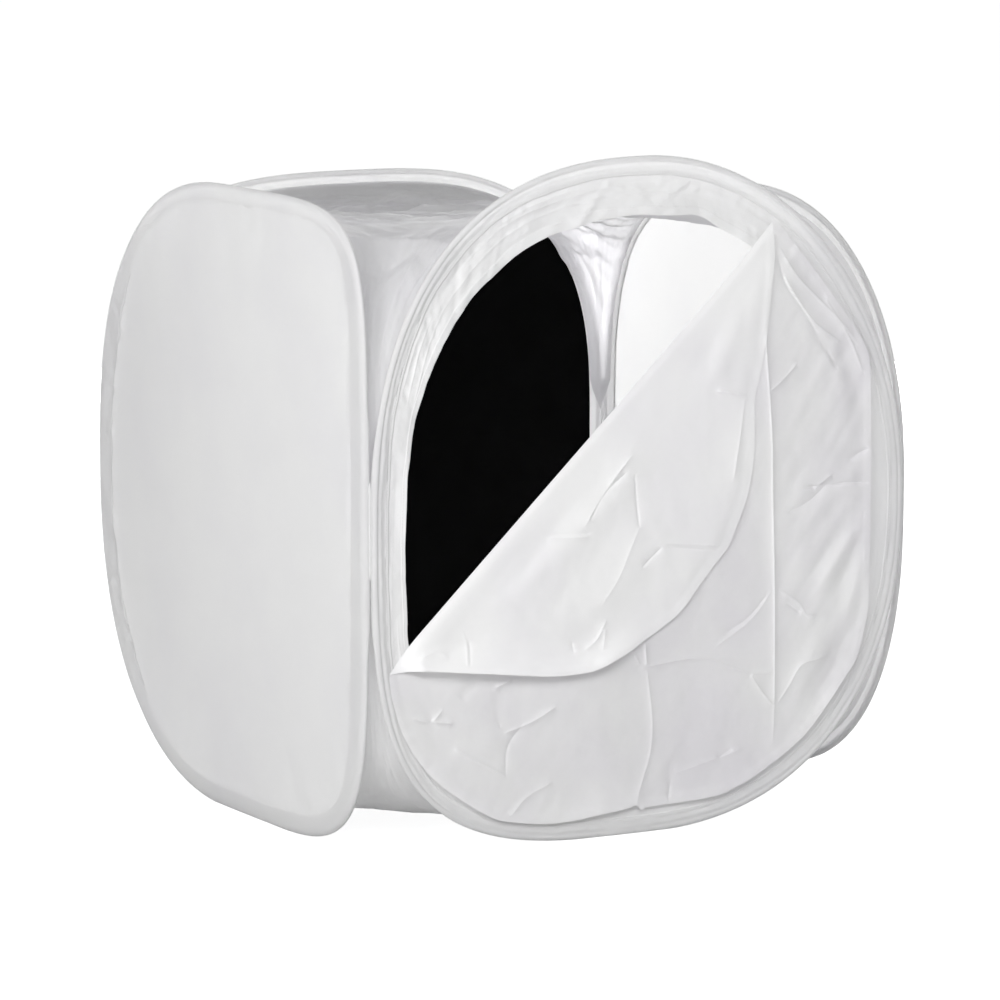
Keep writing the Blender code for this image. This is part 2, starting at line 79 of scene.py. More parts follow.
def place(side, flat, out=0.0):
    """World points of flat (across, up) points in a frame, at a distance out of its plane."""
    flat = np.asarray(flat, dtype=float)
    out = np.broadcast_to(np.asarray(out, dtype=float), flat.shape[:-1])
    ax, ay = ACROSS[side]
    ox, oy = OUTWARD[side]
    x = flat[..., 0] * ax + (PLANE + out) * ox
    y = flat[..., 0] * ay + (PLANE + out) * oy
    return np.stack([x, y, CENTRE + flat[..., 1]], axis=-1)


# -------- curves
def superellipse(half, rise, drop, powers, shift=0.0, count=2880):
    """A closed round outline with a rise, a drop and a power for each of its four corners."""
    upper_far, upper_near, lower_near, lower_far = powers
    turn = 2 * np.pi * (np.arange(count) + 0.5) / count
    c, s = np.cos(turn), np.sin(turn)
    power = np.where(s >= 0, np.where(c >= 0, upper_far, upper_near),
                     np.where(c >= 0, lower_far, lower_near))
    x = half * np.sign(c) * np.abs(c) ** (2 / power) + shift
    z = np.where(s >= 0, rise, drop) * np.sign(s) * np.abs(s) ** (2 / power)
    return np.stack([x, z], axis=1)


def spaced(points, count, closed=True):
    """The curve through the points, as equally spaced ones."""
    line = np.vstack([points, points[:1]]) if closed else np.asarray(points, dtype=float)
    steps = np.linalg.norm(np.diff(line, axis=0), axis=1)
    run = np.concatenate([[0], np.cumsum(steps)])
    at = np.linspace(0, run[-1], count, endpoint=not closed)
    return np.stack([np.interp(at, run, line[:, k]) for k in range(line.shape[1])], axis=1)


def catmull_rom(p0, p1, p2, p3, t):
    """The curve from p1 to p2, at a share t of the way."""
    return 0.5 * (2 * p1 + (p2 - p0) * t + (2 * p0 - 5 * p1 + 4 * p2 - p3) * t**2
                  + (3 * p1 - p0 - 3 * p2 + p3) * t**3)


def smooth_line(points, spacing, closed=False):
    """A Catmull-Rom curve through the points, cut at about the spacing."""
    points = np.asarray(points, dtype=float)
    if closed:
        padded = np.vstack([points[-1:], points, points[:2]])
    else:
        padded = np.vstack([2 * points[0] - points[1], points, 2 * points[-1] - points[-2]])
    t = np.linspace(0, 1, 24, endpoint=False)[:, None]
    out = [catmull_rom(*padded[k - 1:k + 3], t) for k in range(1, len(padded) - 2)]
    line = np.vstack(out + ([] if closed else [points[-1:]]))
    length = np.linalg.norm(np.diff(line, axis=0), axis=1).sum()
    return spaced(line, max(4, int(round(length / spacing)) + 1), closed)


def inward(points):
    """Unit vectors into a counter-clockwise closed curve."""
    along = np.roll(points, -1, axis=0) - np.roll(points, 1, axis=0)
    along /= np.linalg.norm(along, axis=1)[:, None]
    return np.stack([-along[:, 1], along[:, 0]], axis=1)


def pulled(curve, traced, middle, reach=0.05):
    """The closed curve, pulled to pass near traced points that cover a part of it."""
    traced = np.asarray(traced) * MM
    angle = np.arctan2(*(curve - middle).T[::-1])
    radius = np.linalg.norm(curve - middle, axis=1)
    order = np.argsort(angle)
    at = np.arctan2(*(traced - middle).T[::-1])
    own = np.interp(at, angle[order], radius[order], period=2 * np.pi)
    ratio = np.linalg.norm(traced - middle, axis=1) / own - 1
    offset = (angle[:, None] - at[None] + np.pi) % (2 * np.pi) - np.pi
    weight = np.exp(-((offset / reach) ** 2) / 2)
    total = weight.sum(axis=1)
    share = np.clip(total, 0, 1)
    change = (weight * ratio).sum(axis=1) / np.maximum(total, 1e-9) * share
    return middle + (curve - middle) * (1 + change)[:, None]


def inside(points, outline):
    """Which flat points lie inside a closed outline."""
    found = np.zeros(len(points), dtype=bool)
    after = np.roll(outline, -1, axis=0)
    for (x0, z0), (x1, z1) in zip(outline, after):
        if z0 == z1:
            continue
        rows = (z0 > points[:, 1]) != (z1 > points[:, 1])
        found ^= rows & (points[:, 0] < (x1 - x0) * (points[:, 1] - z0) / (z1 - z0) + x0)
    return found


def near_line(points, line):
    """Each flat point's distance to an open line, and the share of the line that it is beside."""
    best = np.full(len(points), np.inf)
    share = np.zeros(len(points))
    steps = np.linalg.norm(np.diff(line, axis=0), axis=1)
    total = steps.sum()
    done = 0.0
    for start, end, step in zip(line[:-1], line[1:], steps):
        along = (end - start) / step
        t = np.clip((points - start) @ along, 0, step)
        away = np.linalg.norm(points - start - t[:, None] * along, axis=1)
        closer = away < best
        best = np.where(closer, away, best)
        share = np.where(closer, (done + t) / total, share)
        done += step
    return best, share


# -------- heights
TRACED_OUT = 3 * MM
SIGHT_SLOPE = (-0.552, 0.172)     # how far a point slides across and up for each unit out


def noise(u, v, cell_u, cell_v, seed, octaves=1):
    """Smooth value noise, about -1 to 1."""
    u, v = np.broadcast_arrays(np.asarray(u, dtype=float), np.asarray(v, dtype=float))
    total, size = np.zeros(u.shape), 1.0
    for octave in range(octaves):
        lattice = np.random.RandomState(seed + octave).uniform(-1, 1, (67, 71))
        a, b = u / cell_u * 2**octave + 31.7, v / cell_v * 2**octave + 17.3
        i, j = np.floor(a).astype(int), np.floor(b).astype(int)
        f, g = a - i, b - j
        f, g = f * f * (3 - 2 * f), g * g * (3 - 2 * g)
        i0, j0, i1, j1 = i % 67, j % 71, (i + 1) % 67, (j + 1) % 71
        low = lattice[i0, j0] * (1 - f) + lattice[i1, j0] * f
        high = lattice[i0, j1] * (1 - f) + lattice[i1, j1] * f
        total += size * (low * (1 - g) + high * g)
        size *= 0.5
    return total


def eased(x, low, high):
    """From 0 at the low value to 1 at the high one, with no corner at either."""
    t = np.clip((x - low) / (high - low), 0, 1)
    return t * t * (3 - 2 * t)


def creases(points, lines):
    """Height of creases: (line in mm, height in mm, width in mm), each sharp along its line."""
    height = np.zeros(len(points))
    for line, rise, width in lines:
        away, share = near_line(points, smooth_line(np.asarray(line) * MM, 0.006))
        if width < 7:
            taper = np.clip(np.minimum(share, 1 - share) * 7, 0, 1) ** 0.6
            form = (1.7 * np.exp(-away / (0.4 * width * MM))
                    + 0.7 * np.exp(-((away / (1.6 * width * MM)) ** 2)))
        else:
            taper = eased(np.minimum(share, 1 - share), 0, 0.4)
            form = np.exp(-((away / (width * MM)) ** 2))
        height += rise * MM * taper * form
    return height


def seen(flat, out):
    """Flat points drawn as if they lay at the traced distance out, moved along the line of sight of
    the front view to their own distance out."""
    return flat + (out - TRACED_OUT)[:, None] * np.array(SIGHT_SLOPE)


# -------- meshes
def piece(name, points, faces, materials, body, replaces=(), kinds=None, normals=None):
    mesh = bpy.data.meshes.new(name)
    mesh.from_pydata(np.asarray(points).tolist(), [], [list(map(int, f)) for f in faces])
    mesh.update()
    for one in materials:
        mesh.materials.append(one)
    if kinds is not None:
        mesh.polygons.foreach_set("material_index", np.asarray(kinds, dtype=np.int32))
    mesh.shade_smooth()
    if normals is not None:
        mesh.normals_split_custom_set_from_vertices(np.asarray(normals).tolist())
    made = bpy.data.objects.new(name, mesh)
    bpy.context.scene.collection.objects.link(made)
    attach(made, body)
    if replaces:
        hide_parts(*replaces)
    return made


def grid_faces(rows, columns, closed=False, start=0, flip=False):
    """Squares of a grid of rows x columns points. A closed grid joins its last row to its first."""
    r = np.arange(rows if closed else rows - 1)
    c = np.arange(columns - 1)
    r, c = np.meshgrid(r, c, indexing="ij")
    here = (r * columns + c).ravel()
    there = (((r + 1) % rows) * columns + c).ravel()
    faces = np.stack([here, there, there + 1, here + 1], axis=1) + start
    return faces[:, ::-1] if flip else faces


def stitches(path, normal, pitch=3.0 * MM, length=2.1 * MM, width=0.55 * MM, height=0.28 * MM):
    """A row of sewn stitches along an open path of world points, raised along unit normals."""
    steps = np.linalg.norm(np.diff(path, axis=0), axis=1)
    run = np.concatenate([[0], np.cumsum(steps)])
    at = np.arange(pitch / 2, run[-1] - pitch / 2, pitch)

    def along_at(values, where):
        return np.stack([np.interp(where, run, values[:, k]) for k in range(3)], axis=1)

    one, two = along_at(path, at - length / 2), along_at(path, at + length / 2)
    up = along_at(normal, at)
    up /= np.linalg.norm(up, axis=1)[:, None]
    side = np.cross(two - one, up)
    side /= np.linalg.norm(side, axis=1)[:, None]
    middle = (one + two) / 2
    quarter = (two - one) / 4
    sink = up * 0.1 * MM
    points = np.stack([
        one - sink, middle - quarter + side * width / 2, middle + quarter + side * width / 2,
        two - sink, middle + quarter - side * width / 2, middle - quarter - side * width / 2,
        middle - quarter + up * height, middle + quarter + up * height], axis=1)
    faces = []
    pattern = [(0, 1, 6), (1, 2, 7, 6), (2, 3, 7), (3, 4, 7), (4, 5, 6, 7), (5, 0, 6)]
    for k in range(len(points)):
        faces += [tuple(i + 8 * k for i in face) for face in pattern]
    return points.reshape(-1, 3), faces


def joined(parts):
    """Several (points, faces, kind) as one mesh's points, faces and kinds."""
    points, faces, kinds, start = [], [], [], 0
    for some, what, kind in parts:
        points.append(np.asarray(some).reshape(-1, 3))
        faces += [tuple(int(i) + start for i in face) for face in what]
        kinds += [kind] * len(what)
        start += len(points[-1])
    return np.vstack(points), faces, kinds


def filled(outline, spacing, lines=()):
    """Flat points and triangles that fill an outline at about the spacing, finer by the lines."""
    after = np.roll(outline, -1, axis=0)
    if np.sum(outline[:, 0] * after[:, 1] - outline[:, 1] * after[:, 0]) < 0:
        outline = outline[::-1]
    low, high = outline.min(axis=0), outline.max(axis=0)
    row = spacing * math.sqrt(3) / 2
    zs = np.arange(low[1], high[1], row)
    xs = np.arange(low[0], high[0] + spacing, spacing)
    grid = np.array([(x + (k % 2) * spacing / 2, z) for k, z in enumerate(zs) for x in xs])
    grid = grid[inside(grid, outline)]
    away, _ = near_line(grid, np.vstack([outline, outline[:1]]))
    grid = grid[away > spacing * 0.55]
    beside = []
    for shift in (0.0, 0.9, -0.9, 2.0, -2.0):
        for line, _, _ in lines:
            path = smooth_line(np.asarray(line) * MM, 0.0024)
            along = np.gradient(path, axis=0)
            along /= np.linalg.norm(along, axis=1)[:, None]
            beside.append(path + np.stack([-along[:, 1], along[:, 0]], axis=1) * shift * MM)
    if beside:
        beside = np.vstack(beside)
        beside = beside[inside(beside, outline)]
        beside = beside[near_line(beside, np.vstack([outline, outline[:1]]))[0] > 1.6 * MM]
        taken, kept = {}, []
        for k, (x, z) in enumerate(beside):
            cell = (int(math.floor(x / MM)), int(math.floor(z / MM)))
            near = [taken.get((cell[0] + a, cell[1] + b)) for a in (-1, 0, 1) for b in (-1, 0, 1)]
            if all(n is None or math.hypot(x - n[0], z - n[1]) > 0.7 * MM for n in near):
                taken[cell] = (x, z)
                kept.append(k)
        beside = beside[kept]
        clear = np.ones(len(grid), dtype=bool)
        for line, _, _ in lines:
            clear &= near_line(grid, smooth_line(np.asarray(line) * MM, 0.004))[0] > 3.2 * MM
        grid = np.vstack([grid[clear], beside])
    points = np.vstack([outline, grid])
    count = len(outline)
    found = delaunay_2d_cdt([Vector(p) for p in points], [], [list(range(count))], 1, 1e-9)
    flat = np.array([tuple(p) for p in found[0]])
    faces = [tuple(f) for f in found[2]]
    fixed = []
    for a, b, c in faces:
        turn = np.cross(flat[b] - flat[a], flat[c] - flat[a])
        fixed.append((a, b, c) if turn > 0 else (a, c, b))
    return flat, fixed


# -------- materials
def nodes_of(name):
    made = bpy.data.materials.new(name)
    made.use_nodes = True
    tree = made.node_tree
    tree.nodes.clear()
    return made, tree


def link(tree, kind, settings=None, **inputs):
    """One node, with its settings, and its inputs given as values or as other nodes' outputs."""
    node = tree.nodes.new(kind)
    for key, value in (settings or {}).items():
        setattr(node, key, value)
    for key, value in inputs.items():
        key = int(key[1:]) if key[0] == "i" and key[1:].isdigit() else key.replace("_", " ")
        socket = node.inputs[key]
        if isinstance(value, bpy.types.NodeSocket):
            tree.links.new(value, socket)
        else:
            socket.default_value = value
    return node


def calculated(tree, operation, *values, clamp=False):
    settings = {"operation": operation, "use_clamp": clamp}
    values = {f"i{place_in}": value for place_in, value in enumerate(values)}
    return link(tree, "ShaderNodeMath", settings, **values).outputs[0]


def speckled(tree, where, scale, detail):
    return link(tree, "ShaderNodeTexNoise", Vector=where, Scale=scale, Detail=detail).outputs["Fac"]


def ranged(tree, value, low, high, to_low=0.0, to_high=1.0):
    return link(tree, "ShaderNodeMapRange", Value=value, i1=low, i2=high, i3=to_low,
                i4=to_high).outputs[0]


def tinted(tree, share, one, two):
    return link(tree, "ShaderNodeMix", {"data_type": "RGBA"}, i0=share, i6=(*one, 1.0),
                i7=(*two, 1.0)).outputs[2]


def woven(name, base, shade, through, rough=0.75, axis="X", weave=0.45 * MM):
    """Thin cloth in plain weave, with uneven threads and faint patches, and the share of the light
    that comes through it."""
    made, tree = nodes_of(name)
    where = link(tree, "ShaderNodeTexCoord").outputs["Object"]
    split = link(tree, "ShaderNodeSeparateXYZ", Vector=where)
    turn = 2 * math.pi / weave
    warp, weft = (calculated(tree, "SINE", calculated(tree, "MULTIPLY", split.outputs[one], turn))
                  for one in (axis, "Z"))
    cloth = calculated(tree, "MULTIPLY", warp, weft)
    height = calculated(tree, "MULTIPLY_ADD", speckled(tree, where, 900.0, 2.0), 1.2, cloth)
    bump = link(tree, "ShaderNodeBump", Strength=0.45, Distance=0.035 * MM, Height=height)
    patches = ranged(tree, speckled(tree, where, 9.0, 3.0), 0.38, 0.68)
    fine = speckled(tree, where, 260.0, 3.0)
    mixed = calculated(tree, "MULTIPLY_ADD", fine, 0.35, patches)
    colour = tinted(tree, ranged(tree, mixed, 0.0, 1.35), base, shade)
    roughness = ranged(tree, fine, 0.3, 0.7, rough - 0.08, rough + 0.08)
    shader = link(tree, "ShaderNodeBsdfPrincipled", Base_Color=colour, Roughness=roughness,
                  Normal=bump.outputs[0], Sheen_Weight=0.25, Sheen_Roughness=0.5,
                  Specular_IOR_Level=0.35)
    result = shader.outputs[0]
    if through:
        glow = link(tree, "ShaderNodeBsdfTranslucent", Color=colour, Normal=bump.outputs[0])
        result = link(tree, "ShaderNodeMixShader", i0=through, i1=shader.outputs[0],
                      i2=glow.outputs[0]).outputs[0]
    link(tree, "ShaderNodeOutputMaterial", Surface=result)
    return made


def napped(name, base, shade, sheen, scale=1400.0, specular=0.15):
    """Velvet or hook and loop tape: a short dense pile."""
    made, tree = nodes_of(name)
    where = link(tree, "ShaderNodeTexCoord").outputs["Object"]
    pile, lie = speckled(tree, where, scale, 2.0), speckled(tree, where, 30.0, 4.0)
    height = calculated(tree, "MULTIPLY_ADD", lie, 0.6, pile)
    bump = link(tree, "ShaderNodeBump", Strength=0.6, Distance=0.25 * MM, Height=height)
    share = ranged(tree, calculated(tree, "MULTIPLY", pile, lie), 0.1, 0.45)
    shader = link(tree, "ShaderNodeBsdfPrincipled", Base_Color=tinted(tree, share, shade, base),
                  Roughness=ranged(tree, pile, 0.2, 0.8, 0.9, 1.0), Normal=bump.outputs[0],
                  Sheen_Weight=sheen, Sheen_Roughness=0.35, Specular_IOR_Level=specular)
    link(tree, "ShaderNodeOutputMaterial", Surface=shader.outputs[0])
    return made


def steel(name, base, rough):
    """Rolled or crimped steel: fine drawn lines and uneven polish."""
    made, tree = nodes_of(name)
    where = link(tree, "ShaderNodeTexCoord").outputs["Object"]
    drawn = link(tree, "ShaderNodeMapping", Vector=where, Scale=(60.0, 60.0, 900.0)).outputs[0]
    lines = speckled(tree, drawn, 6.0, 4.0)
    bump = link(tree, "ShaderNodeBump", Strength=0.3, Distance=0.02 * MM, Height=lines)
    colour = tinted(tree, speckled(tree, where, 120.0, 3.0), [b * 0.8 for b in base], base)
    roughness = ranged(tree, lines, 0.3, 0.7, rough - 0.06, rough + 0.08)
    shader = link(tree, "ShaderNodeBsdfPrincipled", Base_Color=colour, Roughness=roughness,
                  Metallic=1.0, Normal=bump.outputs[0])
    link(tree, "ShaderNodeOutputMaterial", Surface=shader.outputs[0])
    return made


WHITE = (0.90, 0.90, 0.897)
LILAC = (0.865, 0.862, 0.872)
MATERIALS = {
    # The far walls, the far sleeves and the lining let more of the light through
    "wall_x": woven("wall_cloth_x", WHITE, LILAC, 0.30),
    "wall_y": woven("wall_cloth_y", WHITE, LILAC, 0.30, axis="Y"),
    "thin_wall_y": woven("thin_wall_cloth_y", WHITE, LILAC, 0.54, axis="Y"),
    "thin_wall_x": woven("thin_wall_cloth_x", WHITE, LILAC, 0.60),
    "sleeve_x": woven("sleeve_cloth_x", WHITE, LILAC, 0.42, weave=0.5 * MM),
    "sleeve_y": woven("sleeve_cloth_y", WHITE, LILAC, 0.42, axis="Y", weave=0.5 * MM),
    "far_sleeve_x": woven("far_sleeve_cloth_x", WHITE, LILAC, 0.46, weave=0.5 * MM),
    "far_sleeve_y": woven("far_sleeve_cloth_y", WHITE, LILAC, 0.50, axis="Y", weave=0.5 * MM),
    "lining_x": woven("sleeve_lining_x", WHITE, LILAC, 0.64, weave=0.5 * MM),
    "lining_y": woven("sleeve_lining_y", WHITE, LILAC, 0.80, axis="Y", weave=0.5 * MM),
    # The stitches at the left wall's far seam are real; the grey of their thread is painted shade
    # for the shadowed groove along that seam
    "shaded_seam_thread": woven("shaded_seam_thread", (0.60, 0.60, 0.60), (0.5, 0.5, 0.5), 0.0, rough=0.6,
                         weave=0.3 * MM),
    "door": woven("door_cloth", WHITE, (0.83, 0.815, 0.845), 0.30),
    # The flap is the door's own cloth, coloured a little lighter: painted light, for the extra
    # brightness of the doubled cloth
    "flap": woven("flap_cloth", (0.92, 0.92, 0.917), (0.87, 0.862, 0.88), 0.15),
    # The top sheet's cloth is coloured darker than the others: painted shade, for the little light
    # that falls on the top from above
    "roof": woven("roof_cloth", (0.86, 0.86, 0.865), (0.78, 0.77, 0.80), 0.52),
    "base": woven("base_cloth", WHITE, LILAC, 0.34),
    "thread": woven("sewing_thread", (0.90, 0.90, 0.90), (0.80, 0.80, 0.80), 0.0, rough=0.6,
                    weave=0.3 * MM),
    "velvet": napped("black_velvet", (0.003, 0.003, 0.0032), (0.0015, 0.0015, 0.0015), 0.02,
                     specular=0.05),
    "black_tape": napped("black_hook_tape", (0.02, 0.02, 0.021), (0.008, 0.008, 0.008), 0.1,
                         scale=900.0),
    "white_tape": napped("white_loop_tape", (0.88, 0.88, 0.88), (0.74, 0.74, 0.75), 0.3,
                         scale=900.0),
    "hoop": steel("spring_steel", (0.42, 0.42, 0.44), 0.3),
    "ferrule": steel("ferrule_steel", (0.62, 0.62, 0.63), 0.4),
}


# -------- hoops and seams
COUNT = 760
RUN = np.arange(COUNT) * 2.5     # about how many mm round the hoop each point lies
# Unevenness fades out where the round closes, so that no step shows there
FADE = np.minimum(np.minimum(RUN, RUN[-1] - RUN) / 25, 1)
HOOP = {side: spaced(superellipse(HALF, rise, DROP, powers), COUNT)
        for side, (rise, powers) in HOOPS.items()}

# How far in the sleeves are sewn: beside the upright stretches, at the top and at the bottom, mm
SEAM_INSETS = {"front": (14.5, 16, 15), "left": (25, 16, 20), "right": (20, 16, 18),
               "back": (20, 16, 18)}


def seam_inset(side):
    """How far in from the hoop its sleeve is sewn."""
    upright, top, bottom = SEAM_INSETS[side]
    into = inward(HOOP[side])
    level = np.where(into[:, 1] < 0, top, bottom)
    depth = level + (upright - level) * into[:, 0] ** 2
    seed = sum(map(ord, side))
    wander = noise(RUN, 0, 60, 1, seed, 2) * 0.9 + noise(RUN, 0, 14, 1, seed + 9) * 0.5
    if side == "left":
        wander = wander + noise(RUN, 0, 6.5, 1, seed + 12) * 0.6
    turn = np.arange(COUNT) / COUNT
    fade = np.minimum(np.minimum(turn, 1 - turn) * 40, 1)
    return (depth + wander * fade) * MM


SEAM_DEPTH = {side: seam_inset(side) for side in HOOP}
BINDING_SPAN = (0.085, 0.125)     # how far from the middle the corner seams start and end to fade
PINCH_REACH = 3.6 * MM
NOSE_TURN = 98        # degrees that the cloth goes round a hoop, to each side
NOSE = 3.5 * MM       # the radius of the cloth round a hoop
LIP = 0.85 * MM       # half of the sewn lips' thickness


def flush(side):
    """Where the wall is sewn flush over the sleeve, from 0 to 1. Elsewhere the sleeve shows."""
    if side != "left":
        return np.zeros(COUNT)
    across, up = HOOP[side][:, 0] / MM, HOOP[side][:, 1] / MM
    return 1 - eased(across, 110, 190) * (1 - eased(np.abs(up + 15), 190, 245))


def far_seam(side):
    """How much of the left wall's far seam a point of the hoop has, from 0 to 1."""
    return (1 - flush(side)) * eased(HOOP[side][:, 0] / MM, 40, 190) * (side == "left")


SEAM_DEPTH["left"] += (6.5 + noise(RUN, 0, 62, 1, 77, 2) * 1.6) * MM * far_seam("left")


def gathered(points):
    """Points near the upright corners, drawn in to the corners' sewn seams."""
    upright = 1 - eased(np.abs(points[..., 2] - CENTRE), *BINDING_SPAN)
    for sx in (-1, 1):
        for sy in (-1, 1):
            to_axis = np.array((sx * AXIS, sy * AXIS)) - points[..., :2]
            away = np.linalg.norm(to_axis, axis=-1)
            pull = 0.88 * np.exp(-((away / PINCH_REACH) ** 2)) * upright
            points[..., :2] += to_axis * pull[..., None]
    return points


def make_sleeve(side):
    """A strip of cloth folded over the hoop and sewn through: a round nose and two lips."""
    line, into, depth = HOOP[side], inward(HOOP[side]), SEAM_DEPTH[side]
    seed = 40 + sum(map(ord, side))
    insets, outs = [], []
    turns = np.radians(np.linspace(-NOSE_TURN, NOSE_TURN, 13))
    flank = np.array([0.06, 0.14, 0.25, 0.38, 0.52, 0.66, 0.79, 0.90])
    level = np.zeros(COUNT)
    wide = flush(side)
    # The cloth is drawn in behind the steel strip, and bulges over the ferrule
    low, high = (np.array(corner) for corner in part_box(f"{side}_hoop_ferrule"))
    bulge = 1 - eased(np.linalg.norm(place(side, line) - (low + high) / 2, axis=1), 0.017, 0.030)
    tight = (1 - bulge) * (side != "left")
    drawn = np.array([2.3, 1.6, 1.6, 1.85, 1.65, 1.35, 1.1, 0.9]) * MM
    swell = NOSE + (2.55 * MM - NOSE) * tight
    # The panel side of a flush sleeve curves down to the hoop over a wider stretch
    reach = {1: NOSE + 4.5 * MM * wide, -1: NOSE + level}

    def side_rows(sign):
        rows = []
        strength = 1.0 + 1.2 * (1 - wide) if side == "left" else 0.8
        start = reach[sign] * (1 - math.cos(turns[-1]))
        brim = NOSE * math.sin(turns[-1])
        over = wide if sign > 0 else level
        lean = 1.8 * MM * far_seam(side) if sign > 0 else level
        for share, held in zip(flank, drawn):
            inset = start + (depth - 1.3 * MM - start) * share / flank[-1]
            strip = LIP + (brim - LIP) * (1 - share) ** 1.25
            strip = strip + (held - strip) * tight + lean * share / flank[-1]
            ripple = noise(RUN + 5 * share, share * 2 + sign, 8.5, 0.9, seed + sign, 2)
            long = noise(RUN, share * 3 + sign, 38, 1.0, seed + 7 + sign)
            grow = share * (1.15 - share) * 3
            strip = strip + (ripple * 0.45 + long * 0.5) * strength * grow * FADE * MM
            ridge = np.exp(-(((share - 0.45 - 0.1 * long) / 0.09) ** 2)) * 0.45 * MM * FADE
            smooth = brim - 0.05 * MM * max(share - 0.66, 0) / 0.24
            rows.append((inset, (strip + ridge) * (1 - over) + smooth * over))
        pinch = noise(RUN, sign, 5, 1, seed + 3) * 0.2 * MM * FADE
        for further, out, hidden in ((-0.9, 0.95, 3.41), (0.0, 0.5, 3.37), (0.9, 0.86, 3.27),
                                     (2.2, 0.72, 2.6), (2.5, 0.35, 0.5)):
            if further > 0 and side in ("right", "back"):
                further = further * 0.3
            rows.append((depth + further * MM,
                         (out * MM + pinch + lean) * (1 - over) + hidden * MM * over))
        return rows

    for inset, out in side_rows(-1)[::-1]:
        insets.append(inset)
        outs.append(-out)
    wobble = 1 + 0.05 * noise(RUN, 0, 20, 1, seed + 21) * FADE
    for turn in turns:
        insets.append(reach[1 if turn > 0 else -1] * (1 - math.cos(turn)))
        outs.append(swell * math.sin(turn) * wobble)
    for inset, out in side_rows(1):
        insets.append(inset)
        outs.append(out)
    flat = line[:, None] + into[:, None] * np.stack(insets, axis=1)[..., None]
    out = np.stack(outs, axis=1)
    points = gathered(place(side, flat, out))
    points[..., 2] = np.maximum(points[..., 2], 0.0002)
    columns = points.shape[1]
    faces = grid_faces(COUNT, columns, closed=True, flip=side in ("left", "back"))
    parts = [(points, faces, 0)]
    ox, oy = OUTWARD[side]
    seam = line + into * depth[:, None]
    for sign in (-1,) if side == "left" else (1, -1):
        path = place(side, np.vstack([seam, seam[:1]]), sign * 0.7 * MM)
        path[:, 2] = np.maximum(path[:, 2], 0.0006)
        parts.append((*stitches(path, np.tile((ox * sign, oy * sign, 0.0), (len(path), 1))), 1))
    some, what, kinds = joined(parts)
    # The lip inside the tent is the thinner lining
    kinds[:len(faces)] = np.tile(np.arange(columns - 1) < len(flank) + 5, COUNT) * 2
    kind = {"front": "sleeve_x", "left": "sleeve_y", "right": "far_sleeve_y",
            "back": "far_sleeve_x"}[side]
    made = piece(f"{side}_sleeve_cloth", some, what,
                 [MATERIALS[kind], MATERIALS["thread"], MATERIALS[f"lining_{kind[-1]}"]],
                 BODY[side], [f"{side}_sleeve"], kinds)


WALL_REACH = 268      # mm from a wall's edge to its middle, about


def shrunk(curve, middle):
    """Rings from a closed curve in to its middle: shares of the way, close together at the edge."""
    depths = list(np.arange(0, 42, 2.6))
    step = 3.0
    while depths[-1] + step < WALL_REACH - 13:
        depths.append(depths[-1] + step)
        step = min(step * 1.09, 9.0)
    shares = np.array(depths) / WALL_REACH
    return shares, middle + (curve[:, None] - middle) * (1 - shares)[None, :, None]


def disc_faces(count, rings, centre, flip):
    """The squares between a disc's rings, and the triangles at its centre."""
    faces = [tuple(f) for f in grid_faces(count, rings, closed=True, flip=flip)]
    for k in range(count):
        here, there = k * rings + rings - 1, ((k + 1) % count) * rings + rings - 1
        faces.append((here, there, centre) if not flip else (there, here, centre))
    return faces


def make_wall(side, edge_inset, out_of_plane, name, material, replaces, seed, crown, pucker):
    """A taut wall: a slight crown, broad unevenness, and puckers where it is sewn."""
    edge = HOOP[side] + inward(HOOP[side]) * edge_inset[:, None]
    middle = edge.mean(axis=0)
    shares, flat = shrunk(edge, middle)
    run, fade = RUN[:, None], FADE[:, None]
    deep = shares[None, :] * WALL_REACH + 0 * run
    across, up = flat[..., 0] / MM, flat[..., 1] / MM
    sewn_on = out_of_plane == 0
    over = flush(side)[:, None] * sewn_on
    loose = (side == "left") * (1 - over)
    out = crown * (1 - (1 - shares[None, :]) ** 2.2) + (3.36 + 0.12 * eased(deep, 0, 6)) * MM * over
    rucks = 0.5 + 0.5 * noise(run, 0, 7.5, 1, seed + 8)
    raised = 2.4 + 1.08 * eased(deep, 30, 160) + 2.8 * rucks * np.exp(-((deep / 10) ** 2))
    out = out + loose * raised * MM * eased(deep, 1.2, 4.6)
    out = out + 1.8 * MM * far_seam(side)[:, None] * sewn_on * np.exp(-deep / 26)
    broad = noise(across, up, 150, 210, seed, 2) * (0.9 if side == "left" else 1.6)
    out = out + broad * MM * eased(deep, 0, 90)
    streaks = noise(run + deep * 0.05, deep * 0.02, 9, 1, seed + 4, 2) * 0.6
    streaks = streaks * np.exp(-deep / 11) * eased(deep, 0, 3) * (1 - 0.6 * over)
    long = noise(run, deep * 0.008, 34, 1, seed + 5, 2)
    long = long * np.exp(-deep / 34) * eased(deep, 0, 12)
    out = out + (streaks + long) * pucker * MM * fade
    points = place(side, flat, out_of_plane + out)
    points = np.vstack([points.reshape(-1, 3), points[:, -1].mean(axis=0)[None]])
    faces = disc_faces(COUNT, len(shares), len(points) - 1, side in ("left", "back"))
    parts = [(points, faces, 0)]
    if side == "left":
        # The far seam's stitches show beside the strip. The stitches are real; their grey thread is
        # painted shade, standing for the dark groove along this seam
        sewn = np.nonzero(far_seam(side) > 0.3)[0]
        sewn = np.concatenate([sewn[sewn > COUNT // 2], sewn[sewn <= COUNT // 2]])
        path = points[sewn * len(shares) + 2]
        parts.append((*stitches(path, np.tile((-1.0, 0.0, 0.0), (len(path), 1)),
                                width=0.9 * MM, height=0.35 * MM), 1))
    some, what, kinds = joined(parts)
    made = piece(name, some, what, [material, MATERIALS["shaded_seam_thread"]], BODY[side],
                 replaces, kinds)


# -------- front opening, door and flap
MIDDLE = np.array((-0.012, 0.0))
OPENING_FORM = (0.242, 0.279, 0.262, (2.1, 2.2, 3.0, 2.5), MIDDLE[0])
